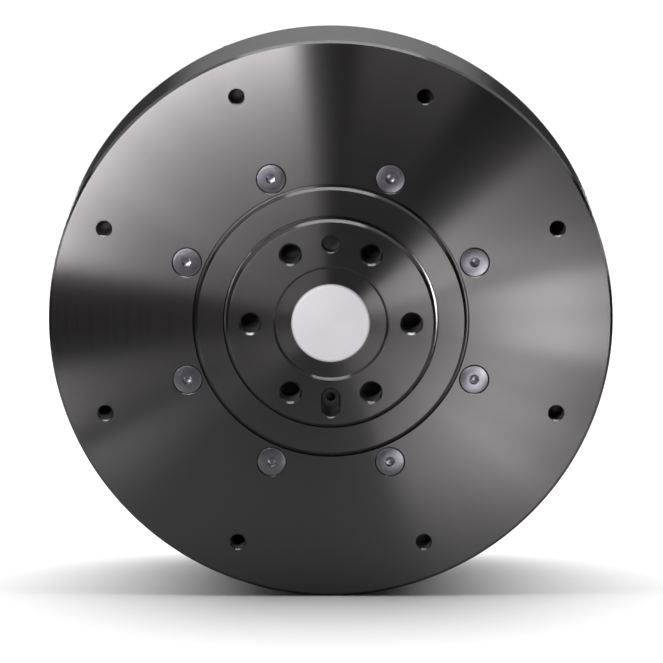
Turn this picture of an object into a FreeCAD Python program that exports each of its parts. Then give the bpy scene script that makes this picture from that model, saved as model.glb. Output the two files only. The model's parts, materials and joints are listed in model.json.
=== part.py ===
"""Robot joint actuator: outrunner motor, one planetary stage and its driver in one round case.

The rotation axis lies along Y. The output face looks towards -Y, the driver cover
towards +Y, and the origin is the centre of the housing's front mounting face.
Angles are counted from +X towards +Z, as seen from the output side. Lengths in mm.
"""
import FreeCAD, Part
import os
from math import acos, cos, degrees, pi, radians, sin, sqrt, tan

# ---------------------------------------------------------------- driving dimensions
FIT = 0.02                      # radial play of a fixed piece in its seat
RUNNING = 0.03                  # radial play of a turning shaft in its bush

CASE_R = 49.0                   # the case's outer radius
CASE_BORE = 44.2                # the wall's inside
PLATE_T = 4.5                   # front plate
RIM_T = 8.6                     # the plate's thick rim, which takes the mounting threads
RIM_BORE = 39.9
WALL_END = 20.8                 # where the rear frame meets the wall
FLANGE_END = 22.3               # back of the rear frame's flange
EDGE = 0.45                     # turned chamfer on outer edges

MOUNT_PCD = 85.0                # case mounting threads, M3
MOUNT_COUNT = 8
MOUNT_ANGLE = 22.5
M3_CORE = 1.25
PLATE_SCREW_PCD = 54.0          # countersunk M2.5 screws that hold the stator hub
PLATE_SCREW_HEAD_R = 2.45

RETAINER_R = 23.65              # bearing retainer, the ring between case and output
RETAINER_BORE = 18.55
RETAINER_FACE = -1.0
RECESS_R = 23.95                # the case's bore round the retainer
SEAT_R = 23.5                   # output bearing's seat
BEARING_Y = (1.6, 8.6)
ROLLER_PITCH_R = 20.5
ROLLER_COUNT = 30
ROLLER_SIDE = 3.0               # width of the square channel that the rollers run in

FLANGE_R = 18.25                # output flange
FLANGE_FACE = -2.5
FLANGE_BACK = 8.7
JOURNAL_R = 17.5
OUTPUT_PCD = 28.0               # output threads, M4
OUTPUT_COUNT = 6
M4_CORE = 1.675
DOWEL_R = 1.5
SLOT_LENGTH = 5.0
CENTRE_RECESS_R = 9.6
PLUG_R = 6.87

MODULE = 0.5                    # planetary stage
PRESSURE = radians(20)
SUN_TEETH = 12
PLANET_TEETH = 42
RING_TEETH = 96
SHIFT = 0.3                     # profile shift of the sun; planets and ring take its opposite
BACKLASH = 0.045                # taken off each flank
PLANET_ANGLES = (30, 150, 270)
GEAR_Y = (9.3, 16.9)
ORBIT_R = MODULE * (SUN_TEETH + PLANET_TEETH) / 2
RING_OUTER_R = 28.6
PIN_R = 2.0
BUSH_R = 3.0
CARRIER_Y = (17.4, 19.4)
CARRIER_R = 19.2
CARRIER_SCREW_R = 15.0

STATOR_Y = (9.0, 19.0)          # motor
STATOR_R = 39.6
STATOR_BORE = 31.0
SLOTS = 36
COIL_Y = (6.5, 21.5)
POLES = 42
MAGNET_R = (40.0, 41.95)
FLUX_R = (42.0, 43.6)
BELL_Y = (22.0, 23.6)
SHAFT_R = 5.0
REAR_BEARING_Y = (24.4, 29.4)
REAR_BEARING_R = 9.5
REAR_SEAT_END = 29.9            # leaves room for the preload washer
REAR_BALL_PITCH_R = 7.25
REAR_BALL_COUNT = 8
REAR_BALL_R = 1.3

WEB_Y = (24.2, 25.8)            # rear frame's web
COVER_R = 46.4
COVER_BORE = 44.0
COVER_FACE = 36.0
COVER_T = 1.6
BOARD_Y = (31.2, 32.6)
BOARD_R = 38.4
BOARD_SCREW_R = 33.0
FRAME_SCREW_R = 47.0
COVER_SCREW_R = 41.5
COVER_SCREW_ANGLES = (0, 45, 135, 180, 225, 315)
BAY_HALF = 20.0                 # connector bay in the cover's lower edge
BAY_Z = -38.0
LEAD_R = 0.8                    # phase leads
LEAD_PITCH = 1.9
LEAD_TRACK_R = 44.9

ORIGIN = FreeCAD.Vector(0, 0, 0)
AXIS = FreeCAD.Vector(0, 1, 0)


# ---------------------------------------------------------------- helpers
def turned(*points):
    """A solid of revolution about Y from (radius, y) corners."""
    corners = [FreeCAD.Vector(r, y, 0) for r, y in points]
    face = Part.Face(Part.makePolygon(corners + corners[:1]))
    return face.revolve(ORIGIN, AXIS, 360)


def ring(inner, outer, low, high, edge=0.0):
    """A plain ring, with its four edges broken by edge."""
    if not edge:
        return turned((inner, low), (outer, low), (outer, high), (inner, high))
    return turned(
        (inner + edge, low), (outer - edge, low), (outer, low + edge), (outer, high - edge),
        (outer - edge, high), (inner + edge, high), (inner, high - edge), (inner, low + edge),
    )


def rod(radius, low, high, x=0.0, z=0.0):
    """A cylinder along Y."""
    return Part.makeCylinder(radius, high - low, FreeCAD.Vector(x, low, z), AXIS)


def cone(low_radius, high_radius, low, high, x=0.0, z=0.0):
    """A cone along Y."""
    return Part.makeCone(low_radius, high_radius, high - low, FreeCAD.Vector(x, low, z), AXIS)


def block(x, y, z):
    """A box from its three (low, high) spans."""
    corner = FreeCAD.Vector(x[0], y[0], z[0])
    return Part.makeBox(x[1] - x[0], y[1] - y[0], z[1] - z[0], corner)


def plate(points, low, high):
    """A prism along Y from (x, z) corners."""
    corners = [FreeCAD.Vector(x, low, z) for x, z in points]
    face = Part.Face(Part.makePolygon(corners + corners[:1]))
    return face.extrude(FreeCAD.Vector(0, high - low, 0))


def around(shape, angle):
    """A copy turned about the axis by an angle counted from +X towards +Z."""
    copy = shape.copy()
    copy.rotate(ORIGIN, AXIS, -angle)
    return copy


def pattern(shape, count, start=0.0):
    """Copies of a shape made at angle 0, evenly spaced from angle start."""
    return [around(shape, start + 360.0 * i / count) for i in range(count)]


def group(shapes):
    """Separate solids that share one node."""
    return Part.makeCompound(shapes)


def polar(radius, angle):
    """(x, z) of a point at a radius and an angle in degrees."""
    return radius * cos(radians(angle)), radius * sin(radians(angle))


def tapped(core, low, depth, x, z=0.0, edge=0.2):
    """The cutter of a blind tapped hole that opens at y = low: chamfer, bore and drill point."""
    bore = rod(core, low, low + depth, x, z)
    mouth = cone(core + edge, core, low, low + edge, x, z)
    point = cone(core, 0.05, low + depth, low + depth + 0.55 * core, x, z)
    return bore.fuse([mouth, point])


def hexagon(across, low, high, x=0.0):
    """A hexagonal prism along Y, for a socket."""
    corner = across / sqrt(3)
    return plate([(x + corner * cos(pi / 3 * i), corner * sin(pi / 3 * i)) for i in range(6)], low, high)


def flush_screw(head_r, shank_r, length, across, radius, face=0.0):
    """A countersunk screw at angle 0, its head just under y = face and its shank towards +Y."""
    top = face + 0.06
    head_h = head_r - shank_r
    body = cone(head_r, shank_r, top + 0.12, top + 0.12 + head_h, radius)
    body = body.fuse([rod(head_r, top, top + 0.12, radius), rod(shank_r, top, face + length, radius)])
    return body.cut(hexagon(across, top, top + 0.9, radius)).removeSplitter()


def cap_screw(head_r, head_h, shank_r, top, tip, across, x):
    """A socket screw at angle 0 with its head towards +Y: the head's top at top, the tip at tip."""
    head = rod(head_r, top - head_h, top, x)
    body = head.fuse(rod(shank_r, tip, top - head_h, x))
    return body.cut(hexagon(across, top - 0.6 * head_h, top, x))


# ---------------------------------------------------------------- gears
def involute(angle):
    """The involute function."""
    return tan(angle) - angle


def gear_outline(teeth, shift, tip_r, root_r, relief, steps=3):
    """Corners of a gear outline with a tooth centred on angle 0.

    relief is taken off each flank, so a negative one widens the teeth, which is how the
    spaces of an internal gear are made.
    """
    pitch_r = MODULE * teeth / 2
    base_r = pitch_r * cos(PRESSURE)
    at_pitch = (pi / 2 + 2 * shift * tan(PRESSURE)) / teeth + involute(PRESSURE) - relief / base_r
    low_r = max(root_r, base_r * 1.0005)
    flank = []
    for i in range(steps + 1):
        radius = low_r + (tip_r - low_r) * i / steps
        flank.append((radius, at_pitch - involute(acos(base_r / radius))))
    if root_r < low_r:
        flank.insert(0, (root_r, flank[0][1]))
    points = []
    for tooth in range(teeth):
        middle = 2 * pi * tooth / teeth
        sides = [(r, middle - a) for r, a in flank] + [(r, middle + a) for r, a in reversed(flank)]
        points += [(r * cos(a), r * sin(a)) for r, a in sides]
    return points


def external_gear(teeth, shift, low, high, steps=3):
    """A solid gear centred on the axis, with a tooth on angle 0."""
    pitch_r = MODULE * teeth / 2
    outline = gear_outline(
        teeth, shift, pitch_r + MODULE * (1 + shift), pitch_r - MODULE * (1.25 - shift), BACKLASH, steps
    )
    return plate(outline, low, high)


def ring_gear():
    """The internal gear, pressed in the stator hub, with teeth centred on each planet's angle."""
    shift = -SHIFT
    pitch_r = MODULE * RING_TEETH / 2
    spaces = gear_outline(
        RING_TEETH, shift, pitch_r + MODULE * (1.25 + shift), pitch_r - MODULE * (1 - shift), -BACKLASH
    )
    low, high = GEAR_Y[0], GEAR_Y[1] + 0.4
    cutter = around(plate(spaces, low - 1, high + 1), 180.0 / RING_TEETH)
    return ring(pitch_r - 1.2, RING_OUTER_R - FIT, low, high, 0.3).cut(cutter)


def planet_gear(angle):
    """A planet, in mesh with sun and ring: spaces face both, with recessed sides."""
    gear = external_gear(PLANET_TEETH, -SHIFT, *GEAR_Y)
    gear = gear.cut(rod(BUSH_R + FIT / 2, GEAR_Y[0] - 1, GEAR_Y[1] + 1))
    for low in (GEAR_Y[0] - 1, GEAR_Y[1] - 1.2):
        gear = gear.cut(ring(4.3, 8.3, low, low + 2.2))
    gear = around(gear, 180.0 / PLANET_TEETH)
    gear.translate(FreeCAD.Vector(ORBIT_R, 0, 0))
    return around(gear, angle)


def planet_bush(angle):
    """The bronze bush that a planet turns on."""
    bush = ring(PIN_R + RUNNING, BUSH_R, *GEAR_Y, 0.15)
    bush.translate(FreeCAD.Vector(ORBIT_R, 0, 0))
    return around(bush, angle)


def planet_pins():
    """Three pins, pressed in the output flange and the carrier plate."""
    body = rod(PIN_R, 4.6, CARRIER_Y[1] - 0.3, ORBIT_R)
    tip = cone(PIN_R - 0.3, PIN_R, 4.3, 4.6, ORBIT_R)
    end = cone(PIN_R, PIN_R - 0.3, CARRIER_Y[1] - 0.3, CARRIER_Y[1], ORBIT_R)
    return group(pattern(body.fuse([tip, end]), 3, PLANET_ANGLES[0]))


def thrust_washers():
    """A washer on each side of each planet."""
    pair = []
    for low in (FLANGE_BACK + 0.05, GEAR_Y[1] + 0.1):
        washer = ring(PIN_R + 0.1, 4.1, low, low + 0.35)
        washer.translate(FreeCAD.Vector(ORBIT_R, 0, 0))
        pair += pattern(washer, 3, PLANET_ANGLES[0])
    return group(pair)


def planet_carrier():
    """The carrier's back plate with three posts that fill the room between the planets."""
    shape = ring(4.7, CARRIER_R, *CARRIER_Y, 0.3)
    posts = ring(11.8, CARRIER_R, FLANGE_BACK, CARRIER_Y[0] + 0.5)
    room = MODULE * (PLANET_TEETH / 2 + 1 - SHIFT) + 0.6
    for x, z in (polar(ORBIT_R, a) for a in PLANET_ANGLES):
        posts = posts.cut(rod(room, FLANGE_BACK - 1, CARRIER_Y[0], x, z))
    shape = shape.fuse(posts)
    for x, z in (polar(ORBIT_R, a) for a in PLANET_ANGLES):
        shape = shape.cut(rod(PIN_R + FIT / 2, CARRIER_Y[0] - 1, CARRIER_Y[1] + 1, x, z))
        washer_room = rod(4.6, CARRIER_Y[0] - 0.5, CARRIER_Y[0], x, z)
        shape = shape.cut(washer_room)
    for angle in PLANET_ANGLES:
        x, z = polar(CARRIER_SCREW_R, angle + 60)
        hole = rod(1.6, FLANGE_BACK - 1, CARRIER_Y[1], x, z)
        shape = shape.cut([hole, rod(2.9, CARRIER_Y[1] - 1.7, CARRIER_Y[1] + 1, x, z)])
    return shape.removeSplitter()


def carrier_screws():
    """Three low-head M3 screws that clamp the carrier plate to the output flange."""
    screw = cap_screw(2.75, 1.6, 1.45, CARRIER_Y[1] - 0.1, 3.6, 2.0, CARRIER_SCREW_R)
    return group(pattern(screw, 3, PLANET_ANGLES[0] + 60))


# ---------------------------------------------------------------- output side
def output_flange():
    """The output flange with its journal, threads, dowel hole, slot and centre bore."""
    body = turned(
        (PLUG_R + FIT, -2.0), (CENTRE_RECESS_R, -2.0), (CENTRE_RECESS_R, -2.05),
        (CENTRE_RECESS_R + 0.45, FLANGE_FACE), (FLANGE_R - 0.5, FLANGE_FACE), (FLANGE_R, FLANGE_FACE + 0.5),
        (FLANGE_R, BEARING_Y[0]), (JOURNAL_R, BEARING_Y[0]), (JOURNAL_R, FLANGE_BACK - 0.3),
        (JOURNAL_R - 0.3, FLANGE_BACK), (4.0 + FIT, FLANGE_BACK), (4.0 + FIT, 4.0),
        (2.5, 4.0), (2.5, 1.5), (PLUG_R + FIT, 1.5),
    )
    radius = OUTPUT_PCD / 2
    cutters = pattern(tapped(M4_CORE, FLANGE_FACE, 7.5, radius, edge=0.35), OUTPUT_COUNT)
    x, z = polar(radius, 90)
    cutters.append(rod(DOWEL_R, FLANGE_FACE, FLANGE_FACE + 3.5, x, z))
    cutters.append(cone(DOWEL_R + 0.15, DOWEL_R, FLANGE_FACE, FLANGE_FACE + 0.15, x, z))
    reach = SLOT_LENGTH / 2 - DOWEL_R
    floor = FLANGE_FACE + 4.5
    for end in (-reach, reach):
        cutters.append(rod(DOWEL_R, FLANGE_FACE, floor, 0, -radius + end))
    cutters.append(block((-DOWEL_R, DOWEL_R), (FLANGE_FACE, floor), (-radius - reach, -radius + reach)))
    cutters.append(rod(0.8, floor - 1, 5.0, 0, -ORBIT_R + 0.5))
    for angle in PLANET_ANGLES:
        x, z = polar(ORBIT_R, angle)
        cutters.append(rod(PIN_R + FIT / 2, 4.2, FLANGE_BACK + 1, x, z))
        x, z = polar(CARRIER_SCREW_R, angle + 60)
        cutters.append(rod(1.45 + FIT, 3.3, FLANGE_BACK + 1, x, z))
    for cutter in cutters:
        body = body.cut(cutter)
    return body


def centre_plug():
    """The bright plug in the flange's centre bore, with a rounded front edge."""
    front, back, edge = -2.45, 1.4, 0.5
    outline = [
        Part.LineSegment(FreeCAD.Vector(0, front, 0), FreeCAD.Vector(PLUG_R - edge, front, 0)).toShape(),
        Part.Arc(
            FreeCAD.Vector(PLUG_R - edge, front, 0),
            FreeCAD.Vector(PLUG_R - edge + edge * sin(pi / 4), front + edge - edge * cos(pi / 4), 0),
            FreeCAD.Vector(PLUG_R, front + edge, 0),
        ).toShape(),
        Part.makePolygon([
            FreeCAD.Vector(PLUG_R, front + edge, 0), FreeCAD.Vector(PLUG_R, back - 0.3, 0),
            FreeCAD.Vector(PLUG_R - 0.3, back, 0), FreeCAD.Vector(4.5, back, 0),
            FreeCAD.Vector(4.5, -0.6, 0), FreeCAD.Vector(0, -0.6, 0), FreeCAD.Vector(0, front, 0),
        ]),
    ]
    face = Part.Face(Part.Wire(outline))
    return face.revolve(ORIGIN, AXIS, 360)


def bearing_retainer():
    """The ring that clamps the output bearing's outer race, flush round the output flange."""
    return turned(
        (RETAINER_BORE + 0.15, RETAINER_FACE), (RETAINER_R - 0.5, RETAINER_FACE),
        (RETAINER_R, RETAINER_FACE + 0.5), (RETAINER_R, 0.7), (RECESS_R - FIT, 0.7),
        (RECESS_R - FIT, BEARING_Y[0]), (20.8, BEARING_Y[0]), (20.8, 1.2), (RETAINER_BORE, 1.2),
        (RETAINER_BORE, RETAINER_FACE + 0.15),
    )


def race(inner, outer, low, high, groove_r, depth):
    """A bearing race with a V groove of the given depth, cut where its wall has the radius groove_r."""
    middle = (low + high) / 2
    cut = depth if groove_r == outer else -depth
    groove = turned(
        (groove_r + cut * 0.2, middle - abs(depth) * 1.2), (groove_r - cut, middle),
        (groove_r + cut * 0.2, middle + abs(depth) * 1.2),
    )
    return ring(inner, outer, low, high, 0.3).cut(groove)


def output_bearing():
    """Outer race, inner race and crossed rollers of the thin output bearing."""
    corner = ROLLER_SIDE / sqrt(2)
    gap = 0.8
    outer = race(ROLLER_PITCH_R + gap, SEAT_R - FIT, *BEARING_Y, ROLLER_PITCH_R + gap, corner - gap)
    inner = race(JOURNAL_R + FIT, ROLLER_PITCH_R - gap, *BEARING_Y, ROLLER_PITCH_R - gap, corner - gap)
    rollers = []
    middle = sum(BEARING_Y) / 2
    size, length = ROLLER_SIDE / 2 - 0.05, ROLLER_SIDE - 0.16
    for i in range(ROLLER_COUNT):
        lean = 1 if i % 2 else -1
        along = FreeCAD.Vector(sin(pi / 4), lean * cos(pi / 4), 0)
        start = FreeCAD.Vector(ROLLER_PITCH_R, middle, 0) - along * (length / 2)
        rollers.append(around(Part.makeCylinder(size, length, start, along), 360.0 * i / ROLLER_COUNT))
    return outer, inner, group(rollers)


def pilot_bearing():
    """Drawn cup and needles that carry the sun shaft's front end in the output flange."""
    cup = turned((3.2, 4.4), (2.6, 4.4), (2.6, 4.05), (4.0, 4.05), (4.0, 8.5), (2.6, 8.5), (2.6, 8.15), (3.2, 8.15))
    needle = rod(0.55, 4.6, 8.0, 2.6)
    return cup, group(pattern(needle, 9))


# ---------------------------------------------------------------- case
def front_housing():
    """The case: front plate, thick rim and outer wall, turned in one piece."""
    body = turned(
        (RECESS_R + 0.12, 0), (CASE_R - EDGE, 0), (CASE_R, EDGE), (CASE_R, WALL_END), (CASE_BORE, WALL_END),
        (CASE_BORE, RIM_T + 0.6), (CASE_BORE - 0.6, RIM_T), (RIM_BORE, RIM_T), (RIM_BORE - 0.8, PLATE_T),
        (SEAT_R, PLATE_T), (SEAT_R, BEARING_Y[0]), (RECESS_R, BEARING_Y[0]), (RECESS_R, 0.12),
    )
    cutters = pattern(tapped(M3_CORE, 0, 6.6, MOUNT_PCD / 2), MOUNT_COUNT, MOUNT_ANGLE)
    radius = PLATE_SCREW_PCD / 2
    sink = cone(2.65, 1.35, 0, 1.3, radius).fuse(rod(1.35, 0, PLATE_T + 1, radius))
    cutters += pattern(sink, MOUNT_COUNT, MOUNT_ANGLE)
    cutters += pattern(rod(0.82, WALL_END - 6, WALL_END + 1, FRAME_SCREW_R), MOUNT_COUNT, MOUNT_ANGLE)
    cutters += pattern(pocket(), MOUNT_COUNT)
    half = 1.5 * LEAD_PITCH + 0.4
    cutters.append(block((-half, half), (PLATE_T, WALL_END + 1), (38, LEAD_TRACK_R + LEAD_R + 0.15)))
    for cutter in cutters:
        body = body.cut(cutter)
    return body


def pocket():
    """The cutter of a shallow pocket in the plate's back, between two screws, which leaves a rib."""
    wedge = plate([(0, 0), polar(60, -18.5), polar(60, 18.5)], PLATE_T - 1.2, PLATE_T + 1)
    return ring(32.2, RIM_BORE - 1.6, PLATE_T - 1.2, PLATE_T + 1).common(wedge)


def plate_screws():
    """Eight countersunk M2.5 screws round the bearing retainer."""
    screw = flush_screw(PLATE_SCREW_HEAD_R, 1.2, 8.0, 1.5, PLATE_SCREW_PCD / 2)
    return group(pattern(screw, MOUNT_COUNT, MOUNT_ANGLE))


def stator_hub():
    """The hub screwed behind the plate: bearing seat, ring gear seat and stator sleeve in one."""
    body = turned(
        (SEAT_R, PLATE_T), (STATOR_BORE + 1.2, PLATE_T), (STATOR_BORE + 1.2, STATOR_Y[0] - 0.9),
        (STATOR_BORE - FIT, STATOR_Y[0] - 0.9), (STATOR_BORE - FIT, STATOR_Y[1] + 0.6),
        (STATOR_BORE - 0.4, STATOR_Y[1] + 1.0), (RING_OUTER_R, STATOR_Y[1] + 1.0), (RING_OUTER_R, GEAR_Y[0]),
        (22.4, GEAR_Y[0]), (22.4, BEARING_Y[1]), (SEAT_R, BEARING_Y[1]),
    )
    hole = rod(1.25, PLATE_T - 1, GEAR_Y[0] - 0.6, PLATE_SCREW_PCD / 2)
    for cutter in pattern(hole, MOUNT_COUNT, MOUNT_ANGLE):
        body = body.cut(cutter)
    return body


# ---------------------------------------------------------------- motor
def tooth_ring(low, high, outer_r, neck, shoe):
    """A ring of stator teeth on a yoke: the outline of the laminations and their insulation."""
    yoke_r = 33.4
    points = []
    for tooth in range(SLOTS):
        middle = 360.0 * tooth / SLOTS
        corners = [
            (yoke_r, degrees(neck / 2 / yoke_r)), (outer_r - 1.2, degrees(neck / 2 / outer_r)),
            (outer_r - 0.5, degrees(shoe / 2 / outer_r)), (outer_r, degrees(shoe / 2 / outer_r)),
        ]
        points += [polar(r, middle - a) for r, a in corners]
        points.append(polar(outer_r, middle))
        points += [polar(r, middle + a) for r, a in reversed(corners)]
    return plate(points, low, high).cut(rod(STATOR_BORE, low - 1, high + 1))


def coils():
    """One winding round each stator tooth."""
    depth = (33.9, 38.0)
    half, corner = 2.6, 1.1
    low, high = COIL_Y
    outline = [
        (-half + corner, low), (half - corner, low), (half, low + corner), (half, high - corner),
        (half - corner, high), (-half + corner, high), (-half, high - corner), (-half, low + corner),
    ]
    corners = [FreeCAD.Vector(depth[0], y, z) for z, y in outline]
    coil = Part.Face(Part.makePolygon(corners + corners[:1])).extrude(FreeCAD.Vector(depth[1] - depth[0], 0, 0))
    hole = block((depth[0] - 1, depth[1] + 1), (STATOR_Y[0] - 0.85, STATOR_Y[1] + 0.85), (-1.5, 1.5))
    return group(pattern(coil.cut(hole), SLOTS))


def phase_leads():
    """Three leads from the winding's front, through the wall's channel, to the driver board."""
    leads = []
    front, back = 6.2, 28.6
    bend = 1.6
    for i in (-1, 0, 1):
        x = i * LEAD_PITCH
        route = [(38.6, front), (LEAD_TRACK_R, front), (LEAD_TRACK_R, back), (34.5, back), (34.5, BOARD_Y[0])]
        points = [FreeCAD.Vector(x, y, r) for r, y in route]
        edges = []
        start = points[0]
        for before, at, after in zip(points, points[1:], points[2:]):
            inward = (before - at).normalize()
            onward = (after - at).normalize()
            first, last = at + inward * bend, at + onward * bend
            centre = at + (inward + onward) * bend
            middle = centre - (inward + onward).normalize() * bend
            edges += [Part.LineSegment(start, first).toShape(), Part.Arc(first, middle, last).toShape()]
            start = last
        edges.append(Part.LineSegment(start, points[-1]).toShape())
        path = Part.Wire(edges)
        section = Part.Wire(Part.makeCircle(LEAD_R, points[0], FreeCAD.Vector(0, 0, 1)))
        leads.append(path.makePipeShell([section], True, False))
    return group(leads)


def magnets():
    """The rotor's magnets, an even number of bar poles round the flux ring."""
    share = 0.88 * 360.0 / POLES
    sector = plate([(0, 0), polar(60, -share / 2), polar(60, share / 2)], 9.6, 20.6)
    magnet = ring(*MAGNET_R, 9.6, 20.6).common(sector)
    return group(pattern(magnet, POLES))


def rotor_bell():
    """The rotor's web, with spokes between its windows and a spigot for the flux ring."""
    low, high = BELL_Y
    body = turned(
        (SHAFT_R + FIT, low), (40.4, low), (40.4, low - 0.8), (FLUX_R[0] - FIT, low - 0.8), (FLUX_R[0] - FIT, low),
        (FLUX_R[1], low), (FLUX_R[1], high - 0.4), (FLUX_R[1] - 0.4, high), (SHAFT_R + FIT, high),
    )
    wedge = plate([(0, 0), polar(60, -17), polar(60, 17)], low - 1, high + 1)
    window = ring(16.5, 37.0, low - 1, high + 1).common(wedge)
    window = window.makeFillet(1.8, [e for e in window.Edges if is_along_axis(e)])
    cutters = pattern(window, 8)
    sink = cone(1.05, 2.0, high - 0.95, high, 9.0).fuse(rod(1.05, low - 1, high, 9.0))
    cutters += pattern(sink, 6)
    for cutter in cutters:
        body = body.cut(cutter)
    return body


def is_along_axis(edge):
    """Is an edge a straight one along Y?"""
    ends = [v.Point for v in edge.Vertexes]
    return len(ends) == 2 and abs(abs(ends[1].y - ends[0].y) - edge.Length) < 1e-6


def sun_gear_shaft():
    """The sun gear, cut on the rotor shaft, with its pilot, flange and rear journal."""
    low, high = GEAR_Y[0] + 0.2, GEAR_Y[1] + 0.2
    teeth = external_gear(SUN_TEETH, SHIFT, low, high, 4)
    pilot = turned((0, 4.3), (1.7, 4.3), (2.0, 4.6), (2.0, low), (0, low))
    shaft = turned(
        (0, high), (3.6, high), (4.0, high + 0.4), (4.0, 20.0), (12.2, 20.0), (12.5, 20.3), (12.5, BELL_Y[0]),
        (SHAFT_R, BELL_Y[0]), (SHAFT_R, 28.7), (SHAFT_R - 0.3, 29.0), (3.0 + FIT, 29.0), (3.0 + FIT, 27.2), (0, 27.2),
    )
    body = teeth.fuse([pilot, shaft])
    for cutter in pattern(rod(0.8, 20.4, BELL_Y[0] + 1, 9.0), 6):
        body = body.cut(cutter)
    return body


def rotor_screws():
    """Six countersunk M2 screws that hold the bell on the shaft's flange."""
    head = cone(0.78, 1.9, BELL_Y[1] - 1.12, BELL_Y[1], 9.0)
    body = head.fuse(rod(0.78, 20.5, BELL_Y[1] - 0.5, 9.0))
    return group(pattern(body.cut(hexagon(1.3, BELL_Y[1] - 0.7, BELL_Y[1] + 1, 9.0)), 6))


def rear_bearing():
    """Outer race, inner race, balls and cage of the rotor's rear bearing."""
    low, high = REAR_BEARING_Y
    middle = (low + high) / 2
    track = Part.makeTorus(REAR_BALL_PITCH_R, REAR_BALL_R + 0.05, FreeCAD.Vector(0, middle, 0), AXIS)
    outer = ring(8.1, REAR_BEARING_R - FIT, low, high, 0.2).cut(track)
    inner = ring(SHAFT_R + FIT, 6.4, low, high, 0.2).cut(track)
    place = FreeCAD.Vector(REAR_BALL_PITCH_R, middle, 0)
    balls = pattern(Part.makeSphere(REAR_BALL_R, place), REAR_BALL_COUNT)
    window = Part.makeCylinder(REAR_BALL_R + 0.06, 4.0, FreeCAD.Vector(SHAFT_R, middle, 0), FreeCAD.Vector(1, 0, 0))
    cage = ring(REAR_BALL_PITCH_R - 0.4, REAR_BALL_PITCH_R + 0.5, middle - 1.6, middle + 1.6)
    return outer, inner, group(balls), cage.cut(pattern(window, REAR_BALL_COUNT))


def preload_washer():
    """The spring washer that presses the rear bearing's outer race forward."""
    inner, outer = 8.4, REAR_BEARING_R - 0.08
    low, high = REAR_BEARING_Y[1] + 0.02, REAR_SEAT_END - 0.03
    return turned((inner, low), (outer, high - 0.2), (outer, high), (inner, low + 0.2))


# ---------------------------------------------------------------- rear and electronics
def rear_frame():
    """The frame that closes the case: bearing boss, board posts, screw bosses and a heat block."""
    low, high = WEB_Y
    body = turned(
        (REAR_BEARING_R, low), (14.0, low), (CASE_BORE - 0.8, low), (CASE_BORE - 0.2, low - 0.6),
        (CASE_BORE - 0.2, WALL_END), (CASE_R, WALL_END), (CASE_R, FLANGE_END - EDGE), (CASE_R - EDGE, FLANGE_END),
        (COVER_R, FLANGE_END), (COVER_R, high), (12.6, high), (12.0, high + 0.6), (12.0, 30.3), (11.7, 30.6),
        (8.3, 30.6), (8.3, REAR_SEAT_END), (REAR_BEARING_R, REAR_SEAT_END),
    )
    post = rod(2.4, high, BOARD_Y[0], BOARD_SCREW_R)
    boss = rod(2.5, high, 29.0, COVER_SCREW_R)
    body = body.fuse(pattern(post, 4, 45) + [around(boss, a) for a in COVER_SCREW_ANGLES])
    heat_block = block((-16, 16), (high, 29.4), (16.5, 26.5))
    body = body.fuse(heat_block)
    cutters = pattern(rod(0.82, high - 1.0, BOARD_Y[0] + 1, BOARD_SCREW_R), 4, 45)
    cutters += [around(rod(1.02, high - 1.0, 30.0, COVER_SCREW_R), a) for a in COVER_SCREW_ANGLES]
    cutters += pattern(rod(1.1, WALL_END - 1, FLANGE_END + 1, FRAME_SCREW_R), MOUNT_COUNT, MOUNT_ANGLE)
    cutters += pattern(rod(2.1, FLANGE_END - 0.3, high + 1, FRAME_SCREW_R), MOUNT_COUNT, MOUNT_ANGLE)
    half = 1.5 * LEAD_PITCH + 0.4
    cutters.append(block((-half, half), (WALL_END - 1, high + 1), (43.0, LEAD_TRACK_R + LEAD_R + 0.1)))
    for cutter in cutters:
        body = body.cut(cutter)
    return body.removeSplitter()


def frame_screws():
    """Eight M2 socket screws that hold the rear frame on the case wall."""
    screw = cap_screw(1.9, 1.6, 0.8, FLANGE_END + 1.3, WALL_END - 5, 1.5, FRAME_SCREW_R)
    return group(pattern(screw, MOUNT_COUNT, MOUNT_ANGLE))


def circuit_board():
    """The driver board, round with a flat at the connector bay and four screw holes."""
    body = rod(BOARD_R, *BOARD_Y).cut(block((-50, 50), (30, 34), (-50, BAY_Z + 1.8)))
    for cutter in pattern(rod(1.1, 30, 34, BOARD_SCREW_R), 4, 45):
        body = body.cut(cutter)
    return body


def board_screws():
    """Four M2 screws that hold the board on its posts."""
    screw = cap_screw(1.8, 1.1, 0.8, BOARD_Y[1] + 1.1, 26.0, 1.3, BOARD_SCREW_R)
    return group(pattern(screw, 4, 45))


def chips():
    """The board's rear side: controller, gate driver, transceiver and small parts."""
    sizes = [  # (x, z, width, height, thickness)
        (-9, 6, 10, 10, 1.4), (8, 6, 7, 7, 1.0), (19, -2, 5, 4, 1.2), (-20, -8, 5, 4, 1.2), (0, -10, 6, 6, 1.1),
        (-12, -20, 3, 2.5, 1.0), (12, -20, 3, 2.5, 1.0), (20, 12, 3.2, 2.6, 1.0), (-24, 10, 3.2, 2.6, 1.0),
        (0, 22, 6.3, 3.2, 0.7), (10, 24, 6.3, 3.2, 0.7), (-10, 24, 6.3, 3.2, 0.7),
    ]
    base = BOARD_Y[1]
    return group([
        block((x - w / 2, x + w / 2), (base, base + t), (z - h / 2, z + h / 2)) for x, z, w, h, t in sizes
    ])


def transistors():
    """Six power transistors on the board's front side, over the heat block."""
    places = [(-12 + 12 * column, 19 + 5.2 * row) for column in range(3) for row in range(2)]
    return group([block((x - 2.8, x + 2.8), (30.1, BOARD_Y[0]), (z - 2.4, z + 2.4)) for x, z in places])


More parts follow.
